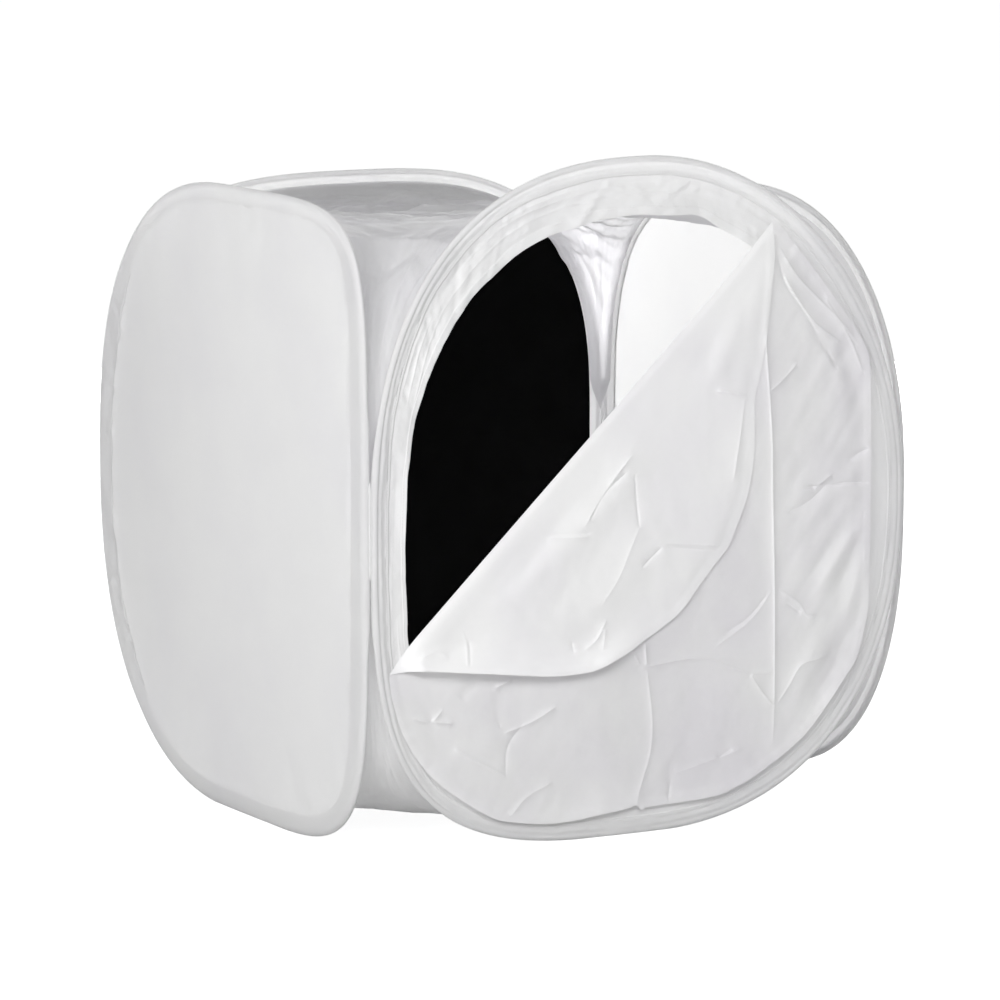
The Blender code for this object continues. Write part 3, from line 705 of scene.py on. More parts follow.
# Points read off the photo, in mm across and up from the front hoop's centre
OPENING_SEEN = [(58, 274), (10, 277), (-38, 276), (-75, 269), (-110, 260), (-157, 231), (-198, 191),
                (-231, 136), (-247, 73), (-254, -21), (-251, -106)]
DOOR_EDGE = [(137, 266), (153, 253), (174, 229), (195, 204), (220, 172), (241, 143), (248, 117),
             (250, 40), (250, -11), (249, -90), (247, -118), (236, -158), (220, -181), (200, -206),
             (180, -228), (160, -243), (140, -255), (120, -266), (100, -274), (80, -280),
             (40, -282.5), (4, -283.5), (-3, -286), (-8, -281.5), (-12, -281), (-20, -283),
             (-50, -286), (-80, -289), (-110, -288.5), (-140, -284), (-160, -279), (-180, -268),
             (-200, -255), (-220, -240), (-240, -219), (-257, -192), (-268, -160), (-272, -137)]
FOLD = [(-272, -133), (-251, -108), (-220, -78), (-160, -21), (-55, 78.5), (30, 159), (90, 216.5),
        (137, 265)]
FLAP_EDGE = [(137, 265), (140, 233), (136, 190), (132, 157), (125, 122), (119, 97), (119, 70),
             (118, 38), (111, 4), (100, -22), (91, -41), (78, -55), (60, -75), (40, -98),
             (20, -112), (0, -123), (-15, -132), (-30, -139), (-45, -145), (-60, -148.5),
             (-80, -149.5), (-100, -149), (-120, -147), (-140, -144.5), (-160, -142),
             (-180, -139.5), (-200, -137), (-225, -134), (-250, -132), (-272, -133)]


def make_ring():
    """The front's cloth ring: sewn to the sleeve outside, hemmed and free round the opening."""
    outer = HOOP["front"] + inward(HOOP["front"]) * SEAM_DEPTH["front"][:, None]
    opening = pulled(spaced(superellipse(*OPENING_FORM), 2880), OPENING_SEEN, MIDDLE)
    angle = np.arctan2(*(opening - MIDDLE).T[::-1])
    order = np.argsort(angle)
    own = np.arctan2(*(outer - MIDDLE).T[::-1])
    inner = np.stack([np.interp(own, angle[order], opening[order, k], period=2 * np.pi)
                      for k in (0, 1)], axis=1)
    run, fade = RUN[:, None], FADE[:, None]
    cloth_rows, hem_rows = 34, 9
    shares = np.concatenate([np.linspace(0, 0.78, cloth_rows), np.linspace(0.80, 1.0, hem_rows)])
    flat = outer[:, None] + (inner - outer)[:, None] * shares[None, :, None]
    width = np.linalg.norm(inner - outer, axis=1)[:, None] / MM
    deep = shares[None] * width
    level = noise(run * 0.6, deep, 55, 11, 301, 2)
    folds = noise(run - deep * 1.3, deep * 0.2, 17, 9, 302, 2) * 0.8
    folds = folds + noise(run + deep * 0.9, deep * 0.3, 9, 6, 306, 2) * 0.35
    stitch_puckers = noise(run, deep * 0.05, 7, 2, 303, 2) * 0.8 * np.exp(-deep / 13)
    for k, where in enumerate((6.0, 11.5, 19.0)):
        line = where + 2.2 * noise(run, 0, 90, 1, 310 + k)
        strength = np.clip(noise(run, 0, 70, 1, 320 + k) + 0.35, 0, 1)
        level = level + strength * 0.9 * np.exp(-np.abs(deep - line) / 0.9)
    free = eased(shares, 0.2, 1.0)[None]
    out = (level + folds) * eased(deep, 0, 7) * 0.9 + stitch_puckers * eased(deep, 0, 2)
    out = (out + (noise(run, 0, 70, 1, 304, 2) * 2.2 + 1.2) * free) * fade
    thick = np.where((shares > 0.79) & (shares < 1.0), 0.35, 0.0)[None]
    upper = eased(flat[..., 1], -0.10, 0.05) * (flat[..., 0] < 0.16)
    left = (flat[..., 0] < -0.1) * 0.6
    calm = 0.25 + 0.75 * np.maximum(upper, left)
    # The small tuck at the top
    tuck, _ = near_line(flat.reshape(-1, 2), np.array([(-0.152, 0.283), (-0.150, 0.272)]))
    out = out * calm + thick - 1.5 * np.exp(-tuck.reshape(out.shape) / (1.2 * MM))
    out = np.clip(out, -3.0, 1.3 + 3.0 * upper)
    points = place("front", flat, out * MM)
    faces = grid_faces(COUNT, len(shares), closed=True)
    parts = [(points, faces, 0)]
    line = points[:, cloth_rows] + np.array((0, -0.3, 0)) * MM
    parts.append((*stitches(np.vstack([line, line[:1]]), np.tile((0.0, -1.0, 0.0), (COUNT + 1, 1)),
                            height=0.2 * MM), 1))
    some, what, kinds = joined(parts)
    made = piece("opening_ring_cloth", some, what, [MATERIALS["wall_x"], MATERIALS["thread"]],
                 "front_frame", ["front_opening_ring"], kinds)


# Creases: points in mm, height in mm, width in mm
DOOR_CREASES = [
    ([(141, 258), (134, 200), (131, 156), (136, 95), (139, 50), (140, 0), (142, -60), (143, -120),
      (143, -190), (142, -235)], 0.85, 4),
    ([(140, -86), (128, -102), (110, -118), (75, -138)], 0.35, 3),
    ([(133, -92), (112, -112), (88, -124)], -0.4, 3),
    ([(-6, -150), (2, -149), (60, -146), (100, -160), (116, -166)], 0.8, 4),
    ([(116, -166), (128, -183), (141, -198)], 0.6, 4),
    ([(116, -166), (141, -167)], 0.4, 4),
    ([(146, -198), (160, -180), (173, -162), (190, -158), (206, -154)], 0.6, 4),
    ([(149, -88), (170, -102), (178, -114), (188, -115)], 0.45, 4),
    ([(155, -100), (172, -112)], -0.5, 4),
    ([(0, -125), (2, -148)], 0.9, 3),
    ([(-12, -133), (-6, -147)], 0.6, 3),
    ([(2, -152), (8, -200), (6, -232), (-4, -262), (-9, -281)], 0.55, 4),
    ([(30, -240), (26, -280)], -0.5, 4),
    ([(34, -254), (80, -244), (108, -237)], 0.5, 6),
    ([(80, -244), (96, -236)], -0.6, 5),
    ([(-152, -199), (-120, -190), (-96, -178)], 0.8, 4),
    ([(-155, -156), (-157, -176), (-156, -194)], -0.7, 4),
    ([(-182, -141), (-187, -152), (-198, -162)], -1.1, 4),
    ([(-161, -155), (-143, -149)], 0.7, 4),
    ([(-248, -176), (-228, -181), (-216, -170)], 0.5, 3),
    ([(-240, -166), (-228, -181), (-234, -193)], -0.9, 3),
    ([(-228, -181), (-205, -185)], 0.8, 3),
    ([(-246, -186), (-232, -184), (-222, -189)], -0.6, 3),
    ([(-205, -208), (-180, -222), (-150, -240)], 0.7, 5),
    ([(-150, -240), (-148, -212), (-130, -190)], -0.5, 5),
    ([(-145, -279), (-128, -262), (-100, -250)], 0.5, 5),
    ([(143, 232), (153, 205), (172, 180), (191, 152), (212, 120)], -1.1, 6),
    ([(150, 214), (166, 190), (186, 166), (214, 146)], 1.1, 4),
    ([(145, 240), (165, 212), (188, 190), (215, 165), (232, 145)], 0.8, 4),
    ([(150, 200), (176, 160), (200, 132), (222, 100), (232, 70)], 0.8, 8),
    ([(173, 9), (215, 11), (248, 9)], -0.8, 4),
    ([(186, 8), (206, 20)], 0.6, 4),
    ([(136, 104), (150, 114), (166, 129)], 0.6, 4),
    ([(224, 32), (234, 38), (247, 42)], -0.8, 3),
    ([(156, -14), (180, -4), (202, 12)], -0.5, 5),
    ([(160, -40), (196, -10), (215, 8)], 1.0, 8),
    ([(170, -88), (214, -40), (236, -8)], -2.0, 10),
    ([(182, -100), (222, -50), (243, -20)], 2.2, 9),
    ([(206, -110), (228, -60), (240, -30)], -1.9, 9),
    ([(218, -130), (236, -80), (246, -50)], 1.7, 8),
    ([(196, 190), (224, 150), (240, 115)], 0.7, 6),
    ([(205, 150), (228, 108), (240, 60)], -0.6, 8),
    ([(156, -200), (176, -170), (205, -120)], 1.5, 10),
    ([(170, -215), (200, -175), (226, -130)], -1.7, 10),
    ([(60, -240), (75, -200), (70, -165)], 0.4, 10),
    ([(-60, -240), (-20, -215), (0, -180)], -0.4, 10),
]
FLAP_CREASES = [
    ([(76, 108), (93, 105), (116, 99)], 0.8, 4),
    ([(-12, 36), (-10, 10), (-7, -16)], -0.5, 3),
    ([(-7, -16), (-18, -40), (-30, -64), (-48, -88)], 0.4, 5),
    ([(-14, 54), (-36, 30), (-56, 4), (-66, -12)], 0.6, 4),
    ([(-20, 38), (-45, 18), (-60, -6)], -0.7, 4),
    ([(-109, -15), (-80, -17), (-58, -17)], -0.6, 3),
    ([(-106, -19), (-60, -21)], 0.6, 4),
    ([(20, -36), (50, -40), (82, -44)], -0.4, 3),
    ([(20, -33), (50, -36), (80, -40)], 0.3, 3),
    ([(-4, -54), (8, -44), (18, -36)], -0.5, 3),
    ([(-193, -98), (-188, -112), (-187, -133)], -0.3, 2),
    ([(-196, -98), (-191, -112), (-190, -133)], 0.25, 2),
    ([(-80, -118), (-77, -130)], -0.5, 3),
    ([(-66, -128), (-52, -118), (-42, -100)], 0.6, 4),
    ([(-43, -108), (-46, -130)], 0.4, 4),
    ([(-238, -120), (-222, -116), (-210, -122)], 0.5, 5),
    ([(-215, -92), (-150, -50), (-80, 10), (-20, 62)], -1.0, 11),
    ([(-200, -108), (-140, -66), (-70, -14), (0, 40)], 1.6, 13),
    ([(-160, -112), (-90, -70), (-30, -12), (30, 60)], -1.2, 14),
    ([(-100, -118), (-30, -70), (30, -10)], 1.0, 14),
    ([(20, 100), (60, 140), (100, 190)], -0.8, 10),
    ([(60, 90), (90, 150), (112, 200)], 0.8, 10),
    ([(96, 20), (104, 70), (108, 100)], 0.7, 6),
]


HEM_WIDTH = (0.0066, 0.0076)      # where the hem's extra thickness starts and ends to fade
HEM_THICK = 0.45 * MM
DOOR_FOOT, FLAP_FOOT = 2.3 * MM, 2.4 * MM     # how far out both lie at the fold
DOOR_LINE = smooth_line(np.array(DOOR_EDGE) * MM, 0.0024)
FOLD_LINE = smooth_line(np.array(FOLD) * MM, 0.0026)
FLAP_LINE = smooth_line(np.array(FLAP_EDGE) * MM, 0.0026)


def door_swell(flat):
    """The hanging door's own unevenness, with no regard to its edges."""
    across, up = flat[:, 0] / MM, flat[:, 1] / MM
    broad = noise(across, up, 95, 130, 401, 2) * 1.5
    broad += noise(across * 0.7 + up * 0.7, across * -0.7 + up * 0.7, 40, 120, 402, 2) * 0.8
    folds = noise(across * 0.8 - up * 0.6, across * 0.6 + up * 0.8, 13, 60, 407, 2)
    fine = noise(across, up, 14, 20, 403, 2) * 0.2
    right = eased(across, 140, 175) * eased(250 - across, 0, 25)
    uneven = broad + fine + folds * (0.2 + 0.45 * right)
    return (3.6 + uneven) * MM + creases(flat, DOOR_CREASES)


def door_height(flat):
    """How far the hanging door stands out of the front frame's plane: most at its bottom edge."""
    away, share = near_line(flat, DOOR_LINE)
    fold_away, _ = near_line(flat, FOLD_LINE)
    out = DOOR_FOOT + (door_swell(flat) - DOOR_FOOT) * (0.25 + 0.75 * eased(fold_away, 0.0, 0.05))
    run = share * 1700
    across, up = flat[:, 0] / MM, flat[:, 1] / MM
    low = eased(-up, 60, 250) * eased(across, -275, -200)
    right = eased(across, 170, 235) * (1 - low)
    flutter = 0.6 * noise(run, 0, 42, 1, 405, 2) + 0.35 * noise(run, 0, 13, 1, 406, 2)
    out = out + (flutter + 3.2 * low + 2.4 * right) * MM * np.exp(-((away / 0.016) ** 1.5))
    out = out + HEM_THICK * (1 - eased(away, *HEM_WIDTH))
    return np.clip(out, 1.9 * MM, 13 * MM)


def make_door():
    """The hanging part of the door, from its hemmed edge to the fold."""
    flat, faces = filled(np.vstack([DOOR_LINE, FOLD_LINE[1:-1]]), 0.0032, DOOR_CREASES)
    out = door_height(flat)
    return place("front", seen(flat, out), out), faces


def make_flap():
    """The folded corner: curled over at the fold, and lying on the door down to its lower edge."""
    flat, faces = filled(np.vstack([FOLD_LINE, FLAP_LINE[1:-1]]), 0.0030, FLAP_CREASES)
    across, up = flat[:, 0] / MM, flat[:, 1] / MM
    away, along = near_line(flat, FOLD_LINE)
    free, _ = near_line(flat, FLAP_LINE)
    lift = 3.9 + 2.2 * eased(away, 0.005, 0.06)
    # The roll, the hollow and the swell beside the fold's lower half
    slack = eased(-up, -20, 40)
    lift += slack * (0.8 * eased(away, 0.003, 0.012) - 2.2 * eased(away, 0.014, 0.042)
                     + 1.8 * eased(away, 0.042, 0.08))
    broad = noise(across, up, 80, 110, 501, 2) + noise(across, up, 30, 60, 502, 2) * 0.4
    fine = noise(across, up, 13, 17, 503, 2) * 0.18
    out = (lift + (broad + fine) * eased(away, 0.0, 0.04)) * MM + creases(flat, FLAP_CREASES)
    # The lower edge curls out, and casts the soft shadow under it
    curl = eased(-up, 90, 125) * eased(across, -262, -235) * (1 - eased(across, -45, 15))
    out = out + 10.5 * MM * curl * np.exp(-((free / 0.017) ** 1.5))
    side = 1 - eased(-up, 60, 120)
    out = out - (out - 4.2 * MM) * 0.8 * side * np.exp(-((free / 0.012) ** 2))
    out = out + HEM_THICK * (1 - eased(free, *HEM_WIDTH))
    rolled = eased(away, 0.0, 0.007)
    out = FLAP_FOOT + (out - FLAP_FOOT) * (0.15 + 0.85 * rolled)
    corner = eased(np.minimum(along, 1 - along), 0.0, 0.05)
    out = 3.0 * MM + (out - 3.0 * MM) * (0.3 + 0.7 * corner)
    # It stays over the door, and comes down to it softly
    below = door_height(flat) + (0.1 + 0.7 * rolled) * MM
    over = out - below
    out = below + (over + np.sqrt(over**2 + (0.6 * MM * rolled) ** 2)) / 2
    out = np.clip(out, FLAP_FOOT, 17 * MM)
    return place("front", seen(flat, out), out), faces


# -------- top and bottom cloths
def coarse_outline(side):
    """The stations that part.py takes round a hoop, and the mitred way in at each."""
    rise, powers = HOOPS[side]
    points = superellipse(HALF, rise, DROP, powers, count=STATIONS)
    before, after = np.roll(points, 1, axis=0), np.roll(points, -1, axis=0)

    def square(one, two):
        along = (two - one) / np.linalg.norm(two - one, axis=1)[:, None]
        return np.stack([-along[:, 1], along[:, 0]], axis=1)

    first, second = square(before, points), square(points, after)
    mitre = first + second
    mitre /= np.linalg.norm(mitre, axis=1)[:, None]
    mitre /= np.sum(mitre * first, axis=1)[:, None]
    return points, mitre


def seam_run(side, upper):
    """The line along a hoop's upper or lower half where a cloth is sewn on."""
    points, mitre = coarse_outline(side)
    line = points + mitre * SEAM_WAY_IN
    half = STATIONS // 2
    return place(side, line[:half][::-1] if upper else line[half:], -SEAM_OFF_PLANE)


def corner_quarter(run, other_run, middle_height):
    """A cloth's quarter: straight rows over the corner, which turn to square ones in the middle."""
    size = len(run)
    quarter = np.zeros((size, size, 3))
    for row in range(size):
        fullness = (row / (size - 1)) ** 2.5
        one, other = run[row], other_run[row]
        height = (1 - fullness) * (one[2] + other[2]) / 2 + fullness * middle_height
        bend = np.array((one[0], other[1], height))
        for step in range(row + 1):
            share = step / (2 * row) if row else 0
            along = step / row if row else 0
            for cell, start, end in (((row, step), one, other), ((step, row), other, one)):
                straight = (1 - share) * start + share * end
                square = (1 - along) * start + along * bend
                quarter[cell] = (1 - fullness) * straight + fullness * square
    return quarter


def stretched_sheet(upper, middle_height, lowest):
    """The four quarters, joined and then relaxed."""
    runs = {side: seam_run(side, upper) for side in HOOPS}
    half = STATIONS // 4 + 1
    sheet = np.zeros((2 * half, 2 * half, 3))
    for across, side_name in ((1, "left"), (-1, "right")):
        for depth, face_name in ((1, "front"), (-1, "back")):
            face = runs[face_name][::across][: half - 1]
            side = runs[side_name][::depth][: half - 1]
            middle = (face[0] + side[0]) / 2
            rise = 0.012 if upper else -0.012
            tip = np.array((middle[0], middle[1], CENTRE + rise))
            sheet[::across, ::depth][:half, :half] = corner_quarter(
                np.vstack([tip, face]), np.vstack([tip, side]), middle_height)
    for _ in range(14):
        around = sheet[:-2, 1:-1] + sheet[2:, 1:-1] + sheet[1:-1, :-2] + sheet[1:-1, 2:]
        sheet[1:-1, 1:-1] = around / 4
    sheet[:, :, 2] = np.maximum(sheet[:, :, 2], lowest)
    return sheet


def refined(grid, times):
    """A finer grid through a grid's points, by Catmull-Rom along rows and then columns."""
    for _ in range(2):
        before = np.concatenate([2 * grid[:1] - grid[1:2], grid[:-2]])
        here, there = grid[:-1], grid[1:]
        after = np.concatenate([grid[2:], 2 * grid[-1:] - grid[-2:-1]])
        rows = [catmull_rom(before, here, there, after, k / times) for k in range(times)]
        fine = np.stack(rows, axis=1).reshape(-1, *grid.shape[1:])
        grid = np.concatenate([fine, grid[-1:]]).transpose(1, 0, 2)
    return grid


def grid_normals(grid):
    normal = np.cross(np.gradient(grid, axis=0), np.gradient(grid, axis=1))
    return normal / np.maximum(np.linalg.norm(normal, axis=2), 1e-12)[..., None]


def make_sheet(kind):
    """A stretched cloth, wrinkled between the hoops, in four quarters that fold with the frames."""
    upper = kind == "top"
    lowest = 0.000725
    coarse = (stretched_sheet(True, CENTRE + 0.245, -1.0) if upper
              else stretched_sheet(False, lowest - 0.018, lowest))
    times = 8
    grid = refined(coarse, times)
    size = grid.shape[0]
    i, j = np.meshgrid(np.arange(size), np.arange(size), indexing="ij")
    rim = np.minimum(np.minimum(i, size - 1 - i), np.minimum(j, size - 1 - j)) / times
    # Rows of each corner quarter run between its two hoops, so wrinkles follow them
    ci = np.minimum(i, size - 1 - i) / times
    cj = np.minimum(j, size - 1 - j) / times
    row = np.maximum(ci, cj)
    tone = np.minimum(ci, cj) / np.maximum(row, 0.5)
    corner = 1 - eased(row, 5.5, 11)
    seed = 600 if upper else 700
    quadrant = (i > size // 2) * 2 + (j > size // 2)
    normal = grid_normals(grid)
    x, y = grid[..., 0] / MM, grid[..., 1] / MM
    taut = noise(row * 6 + quadrant * 50, tone * 2, 4.5, 1.6, seed, 2) * 0.9 * corner
    taut += noise(row * 12 + quadrant * 50, tone * 3, 3.1, 1.1, seed + 3, 2) * 0.35 * corner
    side_tone = np.where(ci < cj, tone, 2 - tone)
    fans = noise(side_tone * 30 + quadrant * 90, row, 2.6, 2.6, seed + 21, 2) * 0.9
    taut += fans * corner * eased(row, 1, 3.5)
    broad = noise(x, y, 85, 85, seed + 5, 2) * 1.8 * (1 - corner)
    rolls = noise(x + y * 0.15, y, 80, 22, seed + 24, 2) * 3.8 * eased(y, -120, 40)
    rolls += noise(x + y * 0.4, y, 44, 11, seed + 27, 2) * 2.0 * eased(y, -60, 120)
    rolls += noise(x - y, x + y, 30, 12, seed + 29, 2) * 1.3 * eased(x, -60, 40) * eased(y, -140, 0)
    sharp = np.abs(noise(x * 0.97 + y * 0.25, y, 75, 20, seed + 41, 2)) ** 0.7
    mean = 0.4
    rolls -= (sharp - mean) * 6.4 * eased(y, -150, 60) * eased(rim, 0.5, 2.5)
    sharp = np.abs(noise(x - y * 0.3, y, 46, 13, seed + 44, 2)) ** 0.7
    rolls -= (sharp - mean) * 3.6 * eased(y, -200, -40) * eased(rim, 0.5, 2.5)
    fine = noise(x, y, 17, 17, seed + 8, 3) * (1 - 0.5 * corner)
    if upper:
        # The ridge where the cloth turns down into the near corner, and the hollow beside it
        brow = row - np.interp(side_tone, (0, 0.21, 0.47, 0.72, 0.98, 1.33, 1.6),
                               (7.2, 7.15, 7.1, 6.6, 5.9, 6.35, 6.6))
        ridge = np.exp(-np.abs(brow) / 0.28) * 4.2 + np.exp(-((brow / 0.8) ** 2)) * 2.6
        hollow = np.exp(-(((side_tone - 0.62) / 0.24) ** 2)) * eased(row, 1.3, 2.6)
        hollow = hollow * (1 - eased(row, 5.0, 6.6)) * 10.0
        taut += (quadrant == 0) * (ridge * eased(tone, -0.4, 0.3) - hollow)
    puckers = noise(x - y, x + y, 9, 9, seed + 11, 2) * 0.7 * np.exp(-rim / 0.8)
    high = ((taut + broad + fine + puckers) * eased(rim, 0, 1.2) + rolls * eased(rim, 0, 0.4)) * MM
    sign = 1 if normal[size // 2, size // 2, 2] > 0 else -1
    if not upper:
        sign = -sign
        high = high * eased(grid[..., 2], 0.0006, 0.03) * 0.8
    grid = grid + normal * sign * high[..., None]
    grid[..., 2] = np.maximum(grid[..., 2], 0.0006)
    normal = grid_normals(grid) * sign
    split = {
        "left": (i <= j) & (i + j <= size - 1),
        "front": (j <= i) & (i + j <= size - 1),
        "right": (j <= i) & (i + j >= size - 1),
        "back": (i <= j) & (i + j >= size - 1),
    }
    points = grid.reshape(-1, 3)
    normals = normal.reshape(-1, 3)
    cells = [(a, b) for a in range(size - 1) for b in range(size - 1)]
    for side, mask in split.items():
        faces = []
        for a, b in cells:
            corners = ((a, b), (a + 1, b), (a + 1, b + 1), (a, b + 1))
            kept = [row_at * size + column_at for row_at, column_at in corners
                    if mask[row_at, column_at]]
            if len(kept) >= 3:
                faces.append(kept)
        used = np.unique(np.concatenate([np.array(f) for f in faces]))
        index = {int(old): new for new, old in enumerate(used)}
        faces = [tuple(index[v] for v in f[::sign]) for f in faces]
        one = piece(f"{kind}_cloth_{side}", points[used], faces,
                    [MATERIALS["roof" if upper else "base"]], BODY[side],
                    [f"{kind}_panel"], normals=normals[used])
        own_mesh(one)


# -------- tapes, strips and bindings
TAPE_WIDTH, STRIP_WIDTH, TAPE_THICK = 12 * MM, 20 * MM, 0.5 * MM


def ribbon(name, path, across, normal, width, thick, material, body, seed):
    """A flat tape along world points, with rounded edges and a sewn line along each of them."""
    path, across, normal = (np.asarray(v, dtype=float) for v in (path, across, normal))
    section = [(-0.5, 0.15), (-0.5, 0.5), (-0.47, 0.85), (-0.35, 1.0), (0.0, 1.06), (0.35, 1.0),
               (0.47, 0.85), (0.5, 0.5), (0.5, 0.15), (0.47, 0.0), (0.0, 0.0), (-0.47, 0.0)]
    run = np.concatenate([[0], np.cumsum(np.linalg.norm(np.diff(path, axis=0), axis=1))]) / MM
    wander = noise(run, 0, 40, 1, seed, 2)[:, None] * 0.3 * MM
    rings = [path + across * (s * width + wander) + normal * (h * thick) for s, h in section]
    rings.append(rings[0])
    points = np.stack(rings, axis=1)
    flip = np.dot(np.cross(path[1] - path[0], across[0]), normal[0]) < 0
    parts = [(points, grid_faces(len(path), len(rings), flip=flip), 0)]
    ends = points[[0, -1], :-1].reshape(-1, 3)
    size = len(section)
    first, last = tuple(range(size)), tuple(range(size, 2 * size))
    parts.append((ends, [first, last[::-1]] if flip else [first[::-1], last], 0))
    for sign in (-0.4, 0.4):
        line = path + across * (sign * width) + normal * thick
        parts.append((*stitches(line, normal, pitch=3.4 * MM, height=0.2 * MM), 1))
    some, what, kinds = joined(parts)
    piece(f"{name}_cloth", some, what, [material, MATERIALS["thread"]], body, [name], kinds)


def door_tapes():
    """The tapes that hold the door to the ring, round all of the opening but the folded corner."""
    count = 620
    line = spaced(superellipse(*OPENING_FORM), count)
    line = line - inward(line) * 9 * MM
    fold_point = np.array((-0.069, 0.0635))
    turn = math.radians(43.8)
    towards = np.array((-math.sin(turn), math.cos(turn)))
    below = (line - fold_point) @ towards < -0.034
    start = next(k for k in range(count) if below[k] and not below[k - 1])
    order = [(start + k) % count for k in range(int(below.sum()))]
    flat, side = line[order], -inward(line)[order]
    across = np.stack([side[:, 0], np.zeros(len(side)), side[:, 1]], axis=1)
    outer = np.tile((0.0, -1.0, 0.0), (len(side), 1))
    for name, out, normal, body, seed in (
        ("ring_loop_tape", 0.55 * MM, outer, "front_frame", 801),
        ("door_hook_tape", 1.75 * MM, -outer, "door", 802),
    ):
        ribbon(name, place("front", flat, out), across, normal, TAPE_WIDTH, TAPE_THICK,
               MATERIALS["white_tape"], body, seed)


def back_strips():
    """The strips that hold the backdrop to the back wall."""
    xs = np.linspace(-0.15, 0.15, 61)
    across = np.tile((0.0, 0.0, 1.0), (len(xs), 1))
    inner = np.tile((0.0, -1.0, 0.0), (len(xs), 1))
    for level, rise in (("upper", 0.215), ("lower", -0.215)):
        flat = np.stack([xs, np.full(len(xs), rise)], axis=1)
        for name, out, normal, cloth, slot, seed in (
            ("back_loop_strip", -0.55 * MM, inner, "white_tape", "white_hook_and_loop", 811),
            ("backdrop_hook_strip", -1.95 * MM, -inner, "black_tape", "black_hook_tape", 821),
        ):
            ribbon(f"{name}_{level}", place("back", flat, out), across, normal, STRIP_WIDTH,
                   TAPE_THICK, MATERIALS[cloth], "back_frame", seed)


def bindings():
    """The bound seam up each corner, between two sleeves, pinched a little by its stitches."""
    count, round_ = 61, 14
    turns = 2 * np.pi * np.arange(round_) / round_
    for name, sx, sy, body in (
        ("front_left", -1, -1, "left_frame"), ("front_right", 1, -1, "right_frame"),
        ("back_left", -1, 1, "back_frame"), ("back_right", 1, 1, "back_frame"),
    ):
        rows = []
        for k in range(count):
            level = -0.045 + 0.09 * k / (count - 1)
            close = min(k, count - 1 - k) / 3
            radius = 1.15 * MM * (1 + 0.07 * math.sin(level / MM * 2 * math.pi / 3.0))
            radius *= 0.35 + 0.65 * min(close, 1)
            rows.append(np.stack([sx * AXIS + radius * np.cos(turns),
                                  sy * AXIS + radius * np.sin(turns),
                                  np.full(round_, CENTRE + level)], axis=1))
        points = np.stack(rows)
        points = np.concatenate([points, points[:, :1]], axis=1)
        ends = np.concatenate([points[0, :-1], points[-1, :-1]])
        some, what, kinds = joined([
            (points, grid_faces(count, round_ + 1, flip=True), 0),
            (ends, [tuple(range(round_))[::-1], tuple(range(round_, 2 * round_))], 0)])
        piece(f"{name}_binding_cloth", some, what, [MATERIALS["sleeve_x"]], body,
              [f"{name}_binding"], kinds)


# -------- making
for side in HOOPS:
    make_sleeve(side)
for side, kind, seed, crown, pucker in (("left", "wall_y", 201, 2.2, 1.3),
                                        ("right", "thin_wall_y", 221, 2.0, 0.9),
                                        ("back", "thin_wall_x", 241, 0.8, 0.9)):
    make_wall(side, SEAM_DEPTH[side] - 1.5 * MM, 0.0, f"{side}_wall_cloth", MATERIALS[kind],
              [f"{side}_panel"], seed, crown * MM, pucker)
make_ring()

door_points, door_faces = make_door()
door = piece("door_lower_cloth", door_points, door_faces, [MATERIALS["door"]], "door",
             ["door_lower_panel"])
flap_points, flap_faces = make_flap()
flap = piece("door_flap_cloth", flap_points, flap_faces, [MATERIALS["flap"]], "door_flap",
             ["door_corner_flap"])
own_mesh(flap)
make_sheet("top")
make_sheet("bottom")
door_tapes()
back_strips()
bindings()
make_wall("back", np.full(COUNT, 14.8 * MM), -2.9 * MM, "backdrop_velvet", MATERIALS["velvet"],
          ["backdrop_cloth"], 261, -1.5 * MM, 1.0)

for side in HOOPS:
    for node, kind in ((f"{side}_spring_hoop", "hoop"), (f"{side}_hoop_ferrule", "ferrule")):
        for slot in bpy.data.objects[node].material_slots:
            slot.material = MATERIALS[kind]

# -------- floor, light and camera
FLOOR_REACH = 30
floor_mesh = bpy.data.meshes.new("floor")
floor_mesh.from_pydata([(x * FLOOR_REACH, y * FLOOR_REACH, 0)
                        for x, y in ((-1, -1), (1, -1), (1, 1), (-1, 1))], [], [(0, 1, 2, 3)])
floor = bpy.data.objects.new("floor", floor_mesh)
bpy.context.scene.collection.objects.link(floor)
floor_material, tree = nodes_of("floor_paper")
light_path = link(tree, "ShaderNodeLightPath")
where = link(tree, "ShaderNodeTexCoord").outputs["Object"]
tint = tinted(tree, speckled(tree, where, 60.0, 3.0), (0.63, 0.63, 0.63), (0.65, 0.65, 0.65))
paper = link(tree, "ShaderNodeBsdfDiffuse", Color=tint)
faint = link(tree, "ShaderNodeBsdfDiffuse", Color=(0.5, 0.5, 0.5, 1))
white = link(tree, "ShaderNodeEmission", Color=(1, 1, 1, 1), Strength=0.88)
# The camera sees white paper that keeps the tent's shadow
bright = link(tree, "ShaderNodeAddShader", i0=faint.outputs[0], i1=white.outputs[0])
both = link(tree, "ShaderNodeMixShader", i0=light_path.outputs["Is Camera Ray"],
            i1=paper.outputs[0], i2=bright.outputs[0])
link(tree, "ShaderNodeOutputMaterial", Surface=both.outputs[0])
floor_mesh.materials.append(floor_material)

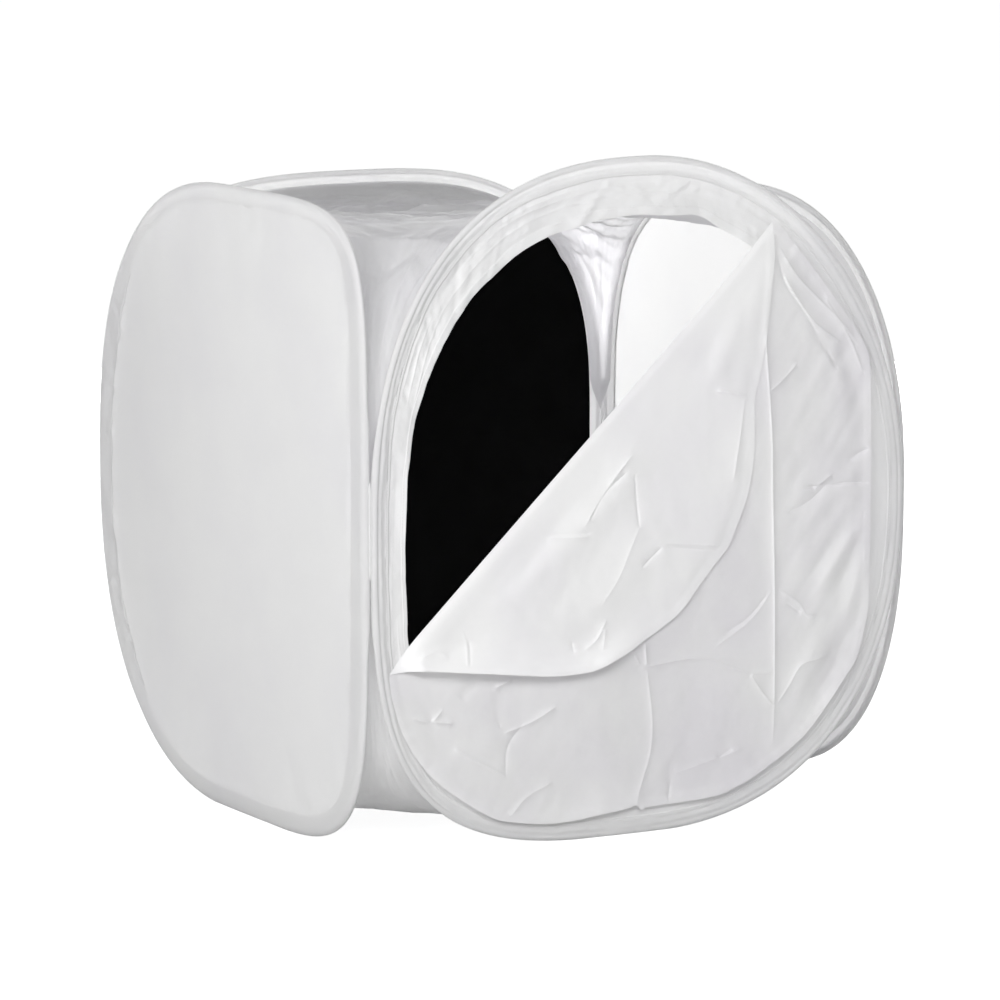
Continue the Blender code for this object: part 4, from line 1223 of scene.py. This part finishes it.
world = bpy.data.worlds.new("studio")
bpy.context.scene.world = world
world.use_nodes = True
tree = world.node_tree
tree.nodes.clear()
light_path = link(tree, "ShaderNodeLightPath")
rays = light_path.outputs
clear = calculated(tree, "SUBTRACT", rays["Is Transmission Ray"], rays["Is Diffuse Ray"],
                   clamp=True)
direct = calculated(tree, "MAXIMUM", calculated(tree, "MAXIMUM", clear, rays["Is Glossy Ray"]),
                    rays["Is Camera Ray"])
towards = link(tree, "ShaderNodeTexCoord").outputs["Generated"]
height = link(tree, "ShaderNodeSeparateXYZ", Vector=towards).outputs["Z"]
dome = ranged(tree, height, 0.05, 0.8, 0.45, 0.08)
# The lit backdrop of the studio, behind the tent and to its right
facing = link(tree, "ShaderNodeVectorMath", {"operation": "DOT_PRODUCT"}, i0=towards,
              i1=(0.62, 0.78, 0.0)).outputs["Value"]
behind = ranged(tree, facing, 0.2, 0.9, 0.0, 0.58)
strength = ranged(tree, direct, 0.0, 1.0, calculated(tree, "ADD", dome, behind), 1.0)
sky = link(tree, "ShaderNodeBackground", Color=(1, 1, 1, 1), Strength=strength)
link(tree, "ShaderNodeOutputWorld", Surface=sky.outputs[0])


def lamp(name, place_at, size, power):
    """A soft box turned to the tent."""
    data = bpy.data.lights.new(name, "AREA")
    data.shape = "RECTANGLE"
    data.size, data.size_y = size
    data.energy = power
    made = bpy.data.objects.new(name, data)
    made.location = place_at
    to_tent = Vector((0, 0, 0.3)) - Vector(place_at)
    made.rotation_euler = to_tent.to_track_quat("-Z", "Y").to_euler()
    bpy.context.scene.collection.objects.link(made)


lamp("front_softbox", (-1.7, -3.4, 2.6), (2.6, 1.3), 100)
lamp("left_softbox", (-2.3, -1.3, 1.0), (1.0, 1.2), 30)
lamp("right_softbox", (3.1, 0.6, 0.5), (1.8, 1.2), 56)
lamp("back_softbox", (1.4, 3.0, 0.6), (2.0, 1.2), 130)

camera_data = bpy.data.cameras.new("camera")
camera_data.lens = 198.17
camera_data.sensor_width = 36.0
camera = bpy.data.objects.new("camera", camera_data)
camera.location = (-2.5817, -4.6984, 1.0714)
camera.rotation_euler = (math.radians(81.597), 0.0, math.radians(-28.847))
bpy.context.scene.collection.objects.link(camera)
bpy.context.scene.camera = camera
bpy.context.scene.view_settings.view_transform = "Standard"
